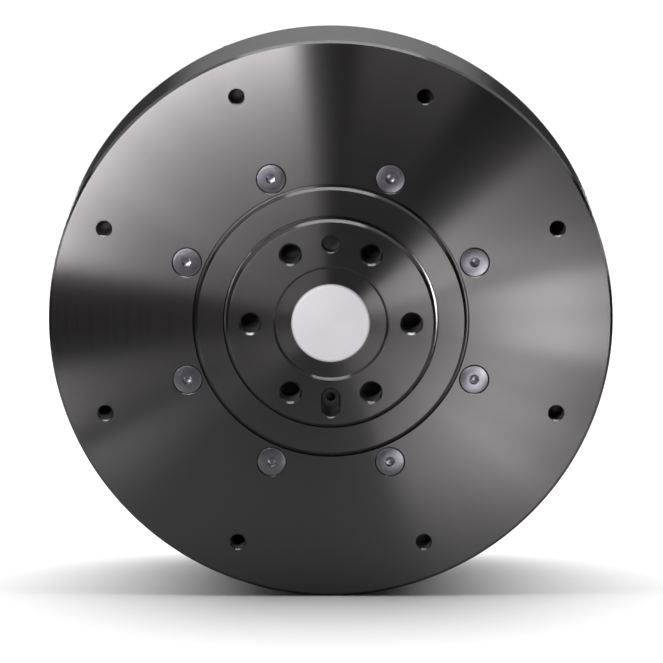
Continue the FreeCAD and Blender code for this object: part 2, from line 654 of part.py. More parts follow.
def bus_capacitors():
    """Four can capacitors on the board's front side."""
    cans = []
    for x in (-24, 24):
        for z in (-6, 6):
            can = rod(4.0, 26.4, BOARD_Y[0] - 0.8, x, z)
            cans.append(can.fuse(block((x - 4.2, x + 4.2), (BOARD_Y[0] - 0.8, BOARD_Y[0]), (z - 4.2, z + 4.2))))
    return group(cans)


def socket_shell(x, width, height, mouth_z, length, wall, depth):
    """A right-angle socket housing on the board's front side, open towards -Z."""
    top = BOARD_Y[0]
    outer = block((x - width / 2, x + width / 2), (top - height, top), (mouth_z, mouth_z + length))
    outer = outer.makeChamfer(0.6, [e for e in outer.Edges if is_along_z(e) and e.CenterOfMass.y < top - 1])
    cavity = block(
        (x - width / 2 + wall, x + width / 2 - wall), (top - height + wall, top - wall),
        (mouth_z - 1, mouth_z + depth),
    )
    return outer.cut(cavity)


def is_along_z(edge):
    """Is an edge a straight one along Z?"""
    ends = [v.Point for v in edge.Vertexes]
    return len(ends) == 2 and abs(abs(ends[1].z - ends[0].z) - edge.Length) < 1e-6


def pins(places, radius, low, high):
    """Round contact pins along Z at (x, y) places."""
    along = FreeCAD.Vector(0, 0, 1)
    return [Part.makeCylinder(radius, high - low, FreeCAD.Vector(x, y, low), along) for x, y in places]


def connectors():
    """The power socket and the two signal sockets, with their contacts."""
    mouth = -40.6
    power = socket_shell(-9.0, 17.0, 5.2, mouth, 11.0, 0.8, 7.0)
    bus = socket_shell(6.0, 8.4, 4.2, mouth, 7.5, 0.7, 4.5)
    debug = socket_shell(15.4, 7.0, 4.2, mouth, 7.5, 0.7, 4.5)
    middle = BOARD_Y[0] - 2.6
    power_pins = pins([(-13.5, middle), (-8.5, middle)], 1.0, mouth + 1, mouth + 7)
    power_pins += pins([(-5.0, middle - 0.7), (-5.0, middle + 0.7)], 0.4, mouth + 1, mouth + 7)
    row = BOARD_Y[0] - 2.1
    bus_pins = pins([(6.0 + 1.25 * (i - 1.5), row) for i in range(4)], 0.25, mouth + 1, mouth + 4.5)
    debug_pins = pins([(15.4 + 1.25 * (i - 1), row) for i in range(3)], 0.25, mouth + 1, mouth + 4.5)
    return power, group(power_pins), bus, debug, group(bus_pins + debug_pins)


def rear_cover():
    """The moulded driver cover: rounded edge, screw bosses, tool scallops and the connector bay."""
    low, face = WEB_Y[1], COVER_FACE
    outer = turned(
        (0, low), (COVER_R, low), (COVER_R, face - 1.4), (COVER_R - 0.41, face - 0.41), (COVER_R - 1.4, face),
        (0, face),
    )
    cavity = rod(COVER_BORE, low - 1, face - COVER_T)
    keep = [block((-BAY_HALF - 1.4, BAY_HALF + 1.4), (low - 1, face), (-60, BAY_Z + 1.4))]
    keep += [around(rod(2.8, 29.0, face, COVER_SCREW_R), a) for a in COVER_SCREW_ANGLES]
    keep += pattern(rod(3.1, low - 1, face, FRAME_SCREW_R), MOUNT_COUNT, MOUNT_ANGLE)
    for solid in keep:
        cavity = cavity.cut(solid)
    body = outer.cut(cavity)
    cutters = [block((-BAY_HALF, BAY_HALF), (low - 1, face + 1), (-60, BAY_Z))]
    cutters += pattern(rod(2.1, low - 1, face + 1, FRAME_SCREW_R), MOUNT_COUNT, MOUNT_ANGLE)
    for angle in COVER_SCREW_ANGLES:
        cutters.append(around(rod(1.35, 28.0, face, COVER_SCREW_R), angle))
        cutters.append(around(rod(2.6, low - 1, 29.0, COVER_SCREW_R), angle))
        cutters.append(around(rod(2.3, face - 2.2, face + 1, COVER_SCREW_R), angle))
    half = 1.5 * LEAD_PITCH + 0.4
    cutters.append(block((-half, half), (low - 1, 30.0), (40.0, LEAD_TRACK_R + LEAD_R + 0.1)))
    for x, width, height in ((-9.0, 17.0, 5.2), (6.0, 8.4, 4.2), (15.4, 7.0, 4.2)):
        top = BOARD_Y[0] + 0.15
        span = (x - width / 2 - 0.15, x + width / 2 + 0.15)
        cutters.append(block(span, (top - height - 0.3, top), (BAY_Z - 1, BAY_Z + 3)))
    for cutter in cutters:
        body = body.cut(cutter)
    return body.removeSplitter()


def cover_screws():
    """Six M2.5 screws that hold the cover on the rear frame."""
    screw = cap_screw(2.1, 1.7, 1.0, COVER_FACE - 0.5, 26.2, 1.5, COVER_SCREW_R)
    return group([around(screw, a) for a in COVER_SCREW_ANGLES])


# ---------------------------------------------------------------- assembly
def build():
    """Every piece by its node name."""
    outer_race, inner_race, rollers = output_bearing()
    pilot_cup, needles = pilot_bearing()
    rear_outer, rear_inner, rear_balls, rear_cage = rear_bearing()
    power, power_pins, bus, debug, signal_pins = connectors()
    pieces = {
        "front_housing": front_housing(),
        "bearing_retainer": bearing_retainer(),
        "plate_screws": plate_screws(),
        "stator_hub": stator_hub(),
        "ring_gear": ring_gear(),
        "output_bearing_outer_race": outer_race,
        "output_bearing_rollers": rollers,
        "output_bearing_inner_race": inner_race,
        "output_flange": output_flange(),
        "centre_plug": centre_plug(),
        "planet_carrier": planet_carrier(),
        "carrier_screws": carrier_screws(),
        "planet_pins": planet_pins(),
        "thrust_washers": thrust_washers(),
        "pilot_bearing_cup": pilot_cup,
        "pilot_bearing_needles": needles,
        "sun_gear_shaft": sun_gear_shaft(),
        "rotor_bell": rotor_bell(),
        "rotor_screws": rotor_screws(),
        "flux_ring": ring(*FLUX_R, 9.4, BELL_Y[0], 0.2),
        "rotor_magnets": magnets(),
        "encoder_magnet": rod(3.0, 27.3, 29.3),
        "stator_core": tooth_ring(*STATOR_Y, STATOR_R, 2.8, 6.0),
        "stator_insulation": group([
            tooth_ring(STATOR_Y[0] - 0.8, STATOR_Y[0], STATOR_R - 0.3, 2.9, 5.6),
            tooth_ring(STATOR_Y[1], STATOR_Y[1] + 0.8, STATOR_R - 0.3, 2.9, 5.6),
        ]),
        "stator_coils": coils(),
        "phase_leads": phase_leads(),
        "rear_frame": rear_frame(),
        "frame_screws": frame_screws(),
        "rear_bearing_outer_race": rear_outer,
        "rear_bearing_balls": rear_balls,
        "rear_bearing_inner_race": rear_inner,
        "rear_bearing_cage": rear_cage,
        "preload_washer": preload_washer(),
        "rotor_spacer": ring(SHAFT_R + FIT, 6.2, BELL_Y[1], REAR_BEARING_Y[0]),
        "circuit_board": circuit_board(),
        "board_screws": board_screws(),
        "board_chips": chips(),
        "power_transistors": transistors(),
        "thermal_pad": block((-15.5, 15.5), (29.4, 30.1), (16.6, 26.4)),
        "bus_capacitors": bus_capacitors(),
        "encoder_chip": block((-2.5, 2.5), (30.3, BOARD_Y[0]), (-2.5, 2.5)),
        "power_socket": power,
        "power_pins": power_pins,
        "bus_socket": bus,
        "debug_socket": debug,
        "signal_pins": signal_pins,
        "rear_cover": rear_cover(),
        "cover_screws": cover_screws(),
    }
    for number, angle in enumerate(PLANET_ANGLES, 1):
        pieces[f"planet_gear_{number}"] = planet_gear(angle)
        pieces[f"planet_bush_{number}"] = planet_bush(angle)
    return pieces


os.makedirs("parts", exist_ok=True)
for name, shape in build().items():
    shape.exportStep(f"parts/{name}.step")
    box = shape.BoundBox
    print(
        f"{name:28s} solids {len(shape.Solids):3d} valid {shape.isValid()} volume {shape.Volume:10.1f}"
        f" y {box.YMin:7.2f}..{box.YMax:6.2f} r {max(box.XMax, box.ZMax, -box.XMin, -box.ZMin):6.2f}"
    )
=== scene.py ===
"""Robot joint actuator: the finish of its case, output, rear cover and inner pieces.

The rotation axis lies along Y and the output side looks towards -Y. A turned piece is built in
an axial frame whose local Z is the axis, pointing to the output side, and whose local X and Y
are the row's X and Z, so that lathe marks and highlights follow the turning direction.
"""
import json
import logging
import math
from dataclasses import dataclass, field
from enum import Enum, auto
from typing import Any, Iterable, Sequence

import bmesh
import bpy
from mathutils import Matrix, Vector


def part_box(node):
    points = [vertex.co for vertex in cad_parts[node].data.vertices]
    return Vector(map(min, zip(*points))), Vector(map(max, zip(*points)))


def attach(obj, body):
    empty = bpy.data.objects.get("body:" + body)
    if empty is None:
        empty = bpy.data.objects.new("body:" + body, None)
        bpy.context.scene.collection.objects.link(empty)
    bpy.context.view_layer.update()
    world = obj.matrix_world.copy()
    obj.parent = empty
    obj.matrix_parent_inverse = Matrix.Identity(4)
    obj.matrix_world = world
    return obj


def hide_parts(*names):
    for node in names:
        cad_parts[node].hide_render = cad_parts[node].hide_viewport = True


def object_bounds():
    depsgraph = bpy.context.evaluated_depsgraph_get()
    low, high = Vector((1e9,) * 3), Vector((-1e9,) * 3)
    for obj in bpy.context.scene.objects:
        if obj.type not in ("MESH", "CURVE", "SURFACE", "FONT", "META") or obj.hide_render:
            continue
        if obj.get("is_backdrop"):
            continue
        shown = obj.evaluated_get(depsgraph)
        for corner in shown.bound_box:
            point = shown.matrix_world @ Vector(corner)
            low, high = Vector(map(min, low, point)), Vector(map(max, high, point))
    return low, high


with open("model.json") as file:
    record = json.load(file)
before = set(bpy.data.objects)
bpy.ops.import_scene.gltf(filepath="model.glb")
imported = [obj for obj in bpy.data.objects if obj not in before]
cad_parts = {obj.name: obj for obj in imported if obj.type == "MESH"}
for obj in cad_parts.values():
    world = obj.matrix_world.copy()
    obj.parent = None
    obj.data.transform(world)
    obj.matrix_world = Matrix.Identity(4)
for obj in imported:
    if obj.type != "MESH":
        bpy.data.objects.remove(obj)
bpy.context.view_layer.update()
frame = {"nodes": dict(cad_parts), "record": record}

LOG = logging.getLogger("actuator")
MM = 0.001
TO_ROW = Matrix.Rotation(math.pi / 2, 4, "X")     # axial frame to row frame
Point = tuple[float, float]


# ------------------------------------------------------------------ shader maths
class Value:
    """One socket of a node graph, on which maths can be written as an expression."""

    def __init__(self, graph: "Graph", socket: bpy.types.NodeSocket) -> None:
        """Keeps the socket and the graph that its Math nodes go to."""
        self.graph = graph
        self.socket = socket

    def _math(self, operation: str, *values: Any) -> "Value":
        """Adds one Math node.

        Args:
            operation: the Math node's operation.
            values: its inputs, in order.

        Returns:
            The node's result.
        """
        inputs = dict(enumerate(values))
        return self.graph.add("ShaderNodeMath", {"operation": operation}, inputs)

    def __add__(self, other: Any) -> "Value":
        """self + other."""
        return self._math("ADD", self, other)

    def __radd__(self, other: Any) -> "Value":
        """other + self."""
        return self._math("ADD", other, self)

    def __sub__(self, other: Any) -> "Value":
        """self - other."""
        return self._math("SUBTRACT", self, other)

    def __rsub__(self, other: Any) -> "Value":
        """other - self."""
        return self._math("SUBTRACT", other, self)

    def __mul__(self, other: Any) -> "Value":
        """self * other."""
        return self._math("MULTIPLY", self, other)

    def __rmul__(self, other: Any) -> "Value":
        """other * self."""
        return self._math("MULTIPLY", other, self)

    def __pow__(self, other: Any) -> "Value":
        """self ** other."""
        return self._math("POWER", self, other)

    def __gt__(self, other: Any) -> "Value":
        """1 where self is greater than other, else 0."""
        return self._math("GREATER_THAN", self, other)

    def __lt__(self, other: Any) -> "Value":
        """1 where self is less than other, else 0."""
        return self._math("LESS_THAN", self, other)

    def root(self) -> "Value":
        """The square root."""
        return self._math("SQRT", self)

    def span(self, low: float, high: float) -> "Value":
        """0 at low, 1 at high and clamped outside."""
        inputs = {"Value": self, "From Min": low, "From Max": high}
        return self.graph.add("ShaderNodeMapRange", {"clamp": True}, inputs)


class Graph:
    """A material's node graph, with one Principled shader."""

    def __init__(self, name: str, in_row: bool = False) -> None:
        """Makes the material and its shader.

        Args:
            name: the material's name.
            in_row: whether the piece is kept in the row's frame, with the axis along Y.
        """
        self.in_row = in_row
        self.material = bpy.data.materials.new(name)
        self.material.use_nodes = True
        self.tree = self.material.node_tree
        self.tree.nodes.clear()
        self.shader = self.tree.nodes.new("ShaderNodeBsdfPrincipled")
        self.output = self.tree.nodes.new("ShaderNodeOutputMaterial")
        self.tree.links.new(self.shader.outputs[0], self.output.inputs["Surface"])

    def finish(self, shader: "Value") -> None:
        """Uses another shader as the surface."""
        self._feed(self.output.inputs["Surface"], shader)

    def add(
        self, kind: str, settings: dict[str, Any] | None = None, inputs: dict[Any, Any] | None = None,
        output: int | str = 0,
    ) -> Value:
        """Adds one node.

        Args:
            kind: the node's type.
            settings: properties set before the inputs; "stops" fills a ramp with (place, colour) pairs.
            inputs: values or links by socket name or number.
            output: the name or number of the socket that is returned.

        Returns:
            The chosen output.
        """
        node = self.tree.nodes.new(kind)
        for key, value in (settings or {}).items():
            if key == "stops":
                self._fill_ramp(node.color_ramp, value)
            else:
                setattr(node, key, value)
        for key, value in (inputs or {}).items():
            self._feed(node.inputs[key], value)
        return Value(self, node.outputs[output])

    def _feed(self, socket: bpy.types.NodeSocket, value: Any) -> None:
        """Links or sets one input."""
        if isinstance(value, Value):
            self.tree.links.new(value.socket, socket)
        else:
            socket.default_value = value

    @staticmethod
    def _fill_ramp(ramp: bpy.types.ColorRamp, stops: Sequence[tuple[float, Sequence[float]]]) -> None:
        """Sets a colour ramp's stops."""
        while len(ramp.elements) < len(stops):
            ramp.elements.new(0.5)
        for element, (place, colour) in zip(ramp.elements, stops):
            element.position = place
            element.color = (*colour, 1.0)

    def set(self, **inputs: Any) -> None:
        """Sets or links the shader's sockets, named with underscores for spaces."""
        for name, value in inputs.items():
            self._feed(self.shader.inputs[name.replace("_", " ")], value)

    def object_point(self) -> Value:
        """The point in the axial frame (X, Z and -Y of the row), in metres."""
        point = self.add("ShaderNodeTexCoord", output="Object")
        if not self.in_row:
            return point
        turn = {"Vector": point, "Rotation": (math.radians(-90), 0.0, 0.0)}
        return self.add("ShaderNodeMapping", inputs=turn)

    def parts(self, vector: Value) -> tuple[Value, Value, Value]:
        """A vector's three numbers."""
        node = self.tree.nodes.new("ShaderNodeSeparateXYZ")
        self._feed(node.inputs[0], vector)
        x, y, z = (Value(self, socket) for socket in node.outputs)
        return x, y, z

    def noise(self, vector: Value, scale: float, detail: float = 2.0, roughness: float = 0.5) -> Value:
        """Fractal noise of a point, with scale in features per metre."""
        inputs = {"Vector": vector, "Scale": scale, "Detail": detail, "Roughness": roughness}
        return self.add("ShaderNodeTexNoise", None, inputs, "Fac")

    def lines(self, along: Value, per_metre: float, detail: float = 1.0) -> Value:
        """Noise of one number, which gives parallel or concentric lines."""
        settings = {"noise_dimensions": "1D"}
        inputs = {"W": along * per_metre, "Scale": 1.0, "Detail": detail, "Roughness": 0.6}
        return self.add("ShaderNodeTexNoise", settings, inputs, "Fac")

    def blend(
        self, factor: Value | float, low: Sequence[float] | Value, high: Sequence[float] | Value,
    ) -> Value:
        """A colour between two colours.

        Args:
            factor: 0 for the first colour and 1 for the second.
            low: the first colour.
            high: the second colour.

        Returns:
            The mixed colour.
        """
        first = low if isinstance(low, Value) else (*low, 1.0)
        second = high if isinstance(high, Value) else (*high, 1.0)
        inputs = {0: factor, 6: first, 7: second}
        return self.add("ShaderNodeMix", {"data_type": "RGBA"}, inputs, 2)

    def bump(self, height: Value, depth: float, strength: float) -> Value:
        """A bumped normal; depth is the relief in metres for a height of 1."""
        inputs = {"Height": height, "Distance": depth, "Strength": strength}
        return self.add("ShaderNodeBump", None, inputs, "Normal")


def scaled(colour: Sequence[float], factor: float) -> list[float]:
    """A colour made darker or lighter by a factor, and no brighter than 1."""
    return [min(1.0, c * factor) for c in colour]


def from_axis(x: Value, y: Value) -> Value:
    """How far a point of the axial frame stands from the axis."""
    return (x * x + y * y).root()


def mount_dims(name: str) -> dict[str, Any]:
    """The dimensions that the record gives one mount."""
    return next(m for m in frame["record"]["mounts"] if m["name"] == name)["dims"]


def placed(name: str, data: bpy.types.ID) -> bpy.types.Object:
    """Puts an object of some data in the scene.

    Args:
        name: the object's name.
        data: its mesh, light or camera.

    Returns:
        The object.
    """
    made = bpy.data.objects.new(name, data)
    bpy.context.scene.collection.objects.link(made)
    return made


# ------------------------------------------------------------------ finishes
@dataclass(frozen=True)
class Finish:
    """A surface finish: a name and a way to build its material once."""

    name: str

    def material(self, in_row: bool = False) -> bpy.types.Material:
        """The finish's material, made at its first use.

        Args:
            in_row: whether the piece is kept in the row's frame, with the axis along Y.

        Returns:
            The material.
        """
        name = f"{self.name}_inside" if in_row else self.name
        made = bpy.data.materials.get(name)
        if made is None:
            graph = Graph(name, in_row)
            self.paint(graph)
            if in_row:
                graph.set(Anisotropic=0.0)
            made = graph.material
        return made

    def paint(self, graph: Graph) -> None:
        """Fills the graph. Each finish has its own."""
        raise NotImplementedError


@dataclass(frozen=True)
class TurnedAnodised(Finish):
    """Dyed anodised aluminium, turned on a lathe: fine concentric lines and a radial sheen."""

    colour: tuple[float, float, float] = (0.0022, 0.002, 0.0022)
    roughness: float = 0.197
    stretch: float = 0.944
    sheen: float = 0.5           # the shader's specular level
    lines_per_mm: float = 5.0
    relief: float = 0.5e-6
    metal: float = 0.0

    def paint(self, graph: Graph) -> None:
        """Concentric tool marks in relief, gloss and tint, and faint handling haze."""
        point = graph.object_point()
        x, y, z = graph.parts(point)
        radius = from_axis(x, y)
        along = radius + z * 0.7
        fine = graph.lines(along, self.lines_per_mm * 1000, 2.0)
        wide = graph.lines(along, self.lines_per_mm * 160, 1.0)
        haze = graph.noise(point, 60.0, 3.0)
        middle = graph.lines(along, self.lines_per_mm * 380, 2.0)
        marks = fine * 0.4 + middle * 0.35 + wide * 0.25
        gloss = self.roughness + (marks - 0.5) * 0.03 + (haze - 0.5) * 0.015
        tint = graph.blend(marks.span(0.35, 0.65), scaled(self.colour, 0.7), scaled(self.colour, 1.35))
        graph.set(
            Base_Color=tint, Roughness=gloss, Metallic=self.metal, Specular_IOR_Level=self.sheen,
            Anisotropic=self.stretch, Anisotropic_Rotation=0.25, IOR=1.5,
            Normal=graph.bump(marks, self.relief, 0.3),
        )


@dataclass(frozen=True)
class SatinMetal(Finish):
    """Bare metal with a satin, turned or ground face."""

    colour: tuple[float, float, float] = (0.62, 0.62, 0.64)
    roughness: float = 0.3
    stretch: float = 0.5
    lines_per_mm: float = 6.0
    mottle: float = 0.06
    metallic: float = 1.0

    def paint(self, graph: Graph) -> None:
        """Turning lines, a soft mottle and painted shade that makes the recesses between the lines slightly
        darker.
        """
        point = graph.object_point()
        x, y, z = graph.parts(point)
        radius = from_axis(x, y)
        fine = graph.lines(radius + z * 0.6, self.lines_per_mm * 1000, 2.0)
        cloud = graph.noise(point, 260.0, 4.0, 0.6)
        # colour: painted shade that darkens the low parts of the turning lines, mixed with a random mottle
        mottle_and_groove_shade = fine * 0.35 + cloud * 0.65
        low = scaled(self.colour, 1 - self.mottle * 2)
        high = scaled(self.colour, 1 + self.mottle)
        graph.set(
            Base_Color=graph.blend(mottle_and_groove_shade.span(0.3, 0.7), low, high), Metallic=self.metallic,
            Roughness=self.roughness + (mottle_and_groove_shade - 0.5) * 0.18, Anisotropic=self.stretch,
            Anisotropic_Rotation=0.25, Normal=graph.bump(fine, 1.2e-6, 0.2),
        )


@dataclass(frozen=True)
class OxideSteel(Finish):
    """Black-oxide screw steel: a bluish dark skin with brighter worn patches."""

    colour: tuple[float, float, float] = (0.054, 0.054, 0.061)
    roughness: float = 0.235
    stretch: float = 0.0

    def paint(self, graph: Graph) -> None:
        """Cloudy oxide, turned end marks and faint bright wear."""
        point = graph.object_point()
        x, y, _ = graph.parts(point)
        marks = graph.lines(from_axis(x, y), 9000.0, 1.0)
        cloud = graph.noise(point, 900.0, 4.0, 0.65)
        wear = cloud.span(0.62, 0.8) * 0.35
        worn = scaled(self.colour, 3.2)
        graph.set(
            Base_Color=graph.blend(wear, self.colour, worn), Metallic=0.85,
            Roughness=self.roughness + (cloud - 0.5) * 0.2 + (marks - 0.5) * 0.1,
            Anisotropic=self.stretch, Anisotropic_Rotation=0.25,
            Normal=graph.bump(marks * 0.5 + cloud * 0.5, 3e-6, 0.25),
        )


@dataclass(frozen=True)
class Moulded(Finish):
    """Moulded plastic or rubber with a fine eroded grain."""

    colour: tuple[float, float, float] = (0.02, 0.02, 0.021)
    roughness: float = 0.5
    grain_per_mm: float = 3.2
    relief: float = 12e-6
    sheen: float = 0.5

    def paint(self, graph: Graph) -> None:
        """Eroded grain in relief and gloss, with a broad flow variation."""
        point = graph.object_point()
        grain = graph.noise(point, self.grain_per_mm * 1000, 3.0, 0.7)
        flow = graph.noise(point, 45.0, 2.0)
        low = scaled(self.colour, 0.8)
        high = scaled(self.colour, 1.25)
        graph.set(
            Base_Color=graph.blend((grain * 0.4 + flow * 0.6).span(0.3, 0.7), low, high),
            Roughness=self.roughness + (grain - 0.5) * 0.16 + (flow - 0.5) * 0.06,
            Specular_IOR_Level=self.sheen, Normal=graph.bump(grain, self.relief, 0.5),
        )


@dataclass(frozen=True)
class Laminate(Finish):
    """Circuit board laminate: solder mask over traces, with bare pads."""

    mask: tuple[float, float, float] = (0.008, 0.045, 0.02)

    def paint(self, graph: Graph) -> None:
        """Raised traces on a grid, vias and glass weave under the mask."""
        point = graph.object_point()
        cells = graph.add(
            "ShaderNodeTexBrick", {"offset": 0.37, "squash": 0.6},
            {"Vector": point, "Scale": 420.0, "Mortar Size": 0.05, "Color1": (1, 1, 1, 1),
             "Color2": (0.6, 0.6, 0.6, 1), "Mortar": (0, 0, 0, 1)}, "Fac",
        )
        dots = graph.add("ShaderNodeTexVoronoi", None, {"Vector": point, "Scale": 380.0}, "Distance") < 0.09
        weave = graph.noise(point, 2500.0, 2.0)
        copper = [min(1.0, c * 2.2 + 0.01) for c in self.mask]
        masked = graph.blend(cells * 0.8 + weave * 0.1, self.mask, copper)
        graph.set(
            Base_Color=graph.blend(dots, masked, (0.75, 0.55, 0.22)), Metallic=dots * 0.9,
            Roughness=0.3 + weave * 0.12, Normal=graph.bump(cells + dots * 0.6, 18e-6, 0.5),
        )


@dataclass(frozen=True)
class Winding(Finish):
    """Enamelled copper wire, laid turn beside turn."""

    colour: tuple[float, float, float] = (0.55, 0.16, 0.05)
    wires_per_mm: float = 1.6

    def paint(self, graph: Graph) -> None:
        """Rounded wires in relief, with painted shade that makes them darker between turns."""
        point = graph.object_point()
        x, y, _ = graph.parts(point)
        radius = from_axis(x, y) * self.wires_per_mm * 1000
        turn = graph.add("ShaderNodeMath", {"operation": "PINGPONG"}, {0: radius, 1: 0.5})
        round_wire = (turn * 2.0) ** 0.5
        enamel = graph.noise(point, 500.0, 3.0)
        dark = scaled(self.colour, 0.35)
        # colour: painted shade, darker from each wire's crown down to the gaps between turns
        graph.set(
            Base_Color=graph.blend(round_wire * 0.8 + enamel * 0.2, dark, self.colour), Metallic=0.8,
            Roughness=0.28 + enamel * 0.15, Coat_Weight=0.5, Normal=graph.bump(round_wire, 120e-6, 0.8),
        )


@dataclass(frozen=True)
class Lamination(Finish):
    """A stack of electrical steel sheets, or plain dark iron where the sheets don't show."""

    colour: tuple[float, float, float] = (0.2, 0.2, 0.21)
    sheets_per_mm: float = 2.86

    def paint(self, graph: Graph) -> None:
        """Sheet edges in relief along the axis, with scale and varnish."""
        point = graph.object_point()
        _, _, z = graph.parts(point)
        sheets = z * self.sheets_per_mm * 1000
        turn = graph.add("ShaderNodeMath", {"operation": "PINGPONG"}, {0: sheets, 1: 0.5})
        seam = (turn * 2.0).span(0.0, 0.35)
        scale = graph.noise(point, 700.0, 4.0, 0.6)
        dark = scaled(self.colour, 0.4)
        graph.set(
            Base_Color=graph.blend(seam * 0.7 + scale * 0.3, dark, self.colour), Metallic=0.8,
            Roughness=0.42 + (scale - 0.5) * 0.25, Normal=graph.bump(seam + scale * 0.2, 25e-6, 0.6),
        )


class Look(Enum):
    """The finishes of the actuator, by what they are on."""

    CASE = TurnedAnodised("case_anodised")
    OUTPUT = TurnedAnodised("output_anodised")
    FRAME = TurnedAnodised("frame_anodised", roughness=0.4, stretch=0.6)
    # painted shade: a near-black, matte finish with little sheen for the walls of narrow holes
    PAINTED_HOLE_SHADE = Moulded("bore_dark", (0.004, 0.004, 0.0045), 0.6, 6.0, 4e-6, 0.3)
    PLUG = SatinMetal("plug_satin", (0.205, 0.205, 0.215), 0.55, 0.2, 4.0, 0.02, 0.15)
    SCREW = OxideSteel("screw_oxide")
    COVER = Moulded("cover_moulded", (0.016, 0.016, 0.017), 0.52)
    POWER = Moulded("power_yellow", (0.72, 0.42, 0.01), 0.35, 1.5, 3e-6)
    SOCKET = Moulded("socket_ivory", (0.66, 0.62, 0.5), 0.4, 1.5, 3e-6)
    GOLD = SatinMetal("contact_gold", (0.9, 0.62, 0.22), 0.22, 0.2)
    GEAR = SatinMetal("gear_ground", (0.42, 0.42, 0.43), 0.3, 0.3)
    BEARING = SatinMetal("bearing_polished", (0.58, 0.58, 0.6), 0.16, 0.4, 9.0, 0.03)
    BRONZE = SatinMetal("bush_bronze", (0.55, 0.33, 0.13), 0.34, 0.3)
    ALUMINIUM = SatinMetal("machined_aluminium", (0.66, 0.66, 0.68), 0.32, 0.4)
    MAGNET = SatinMetal("magnet_nickel", (0.55, 0.54, 0.52), 0.24, 0.1, 2.0, 0.05)
    IRON = Lamination("flux_iron", (0.12, 0.12, 0.125), 0.2)
    SHEETS = Lamination("stator_sheets")
    ENDCAP = Moulded("endcap_resin", (0.6, 0.58, 0.5), 0.55)
    COPPER = Winding("coil_copper")
    LEAD = Moulded("lead_sleeve", (0.35, 0.012, 0.01), 0.45, 2.0, 5e-6)
    BOARD = Laminate("board_mask")
    CHIP = Moulded("chip_resin", (0.012, 0.012, 0.013), 0.48, 5.0, 4e-6)
    CAN = SatinMetal("capacitor_can", (0.68, 0.68, 0.7), 0.2, 0.3)
    PAD = Moulded("thermal_pad", (0.28, 0.32, 0.4), 0.7, 2.0, 10e-6)

    @property
    def material(self) -> bpy.types.Material:
        """The finish's material."""
        return self.value.material()


# ------------------------------------------------------------------ forms
@dataclass(frozen=True)
class Well:
    """A narrow hole, whose wall gets a near-black matte finish as painted shade: its line, reach and stations,
    in mm.
    """

    at: Point
    reach: float
    low: float
    high: float

    def holds(self, x: float, y: float, z: float) -> bool:
        """Whether a place in the row frame lies in the well."""
        return self.low < y < self.high and math.hypot(x - self.at[0], z - self.at[1]) < self.reach


@dataclass(frozen=True)
class Corner:
    """One corner of a turned outline: radius and station along Y in mm, and its rounding."""

    r: float
    y: float
    rounding: float = 0.0


def arc_through(before: Vector, at: Vector, after: Vector, radius: float, steps: int) -> list[Point]:
    """The points of a rounding that replaces a corner.

    Args:
        before: the corner before.
        at: the corner that is rounded.
        after: the corner after.
        radius: the rounding's radius.
        steps: how many chords it has.

    Returns:
        The arc's points, from the side of the corner before to that of the corner after.
    """
    back, ahead = (before - at).normalized(), (after - at).normalized()
    half = back.angle(ahead) / 2
    reach = radius / math.tan(half)
    centre = at + (back + ahead).normalized() * (radius / math.sin(half))
    start, end = at + back * reach - centre, at + ahead * reach - centre
    turn = start.angle_signed(end)
    points = []
    for i in range(steps + 1):
        spoke = Matrix.Rotation(-turn * i / steps, 2) @ start
        points.append(tuple(centre + spoke))
    return points


def outline(corners: Sequence[Corner], steps: int = 4) -> list[Point]:
    """The (radius, y) points of a turned outline, with its roundings worked out.

    Args:
        corners: the outline's corners, in order.
        steps: chords in each rounding.

    Returns:
        The points of the closed outline.
    """
    points: list[Point] = []
    for i, corner in enumerate(corners):
        here = Vector((corner.r, corner.y))
        if corner.rounding > 0:
            before, after = corners[i - 1], corners[(i + 1) % len(corners)]
            points += arc_through(
                Vector((before.r, before.y)), here, Vector((after.r, after.y)), corner.rounding, steps,
            )
        else:
            points.append(tuple(here))
    return points


def polar(radius: float, degrees: float) -> Point:
    """The (x, z) of a point at a radius and an angle counted from +X towards +Z."""
    return radius * math.cos(math.radians(degrees)), radius * math.sin(math.radians(degrees))


def evenly(count: int, start: float = 0.0) -> list[float]:
    """Angles in degrees, evenly spaced round the axis from a first one."""
    return [start + 360.0 * i / count for i in range(count)]


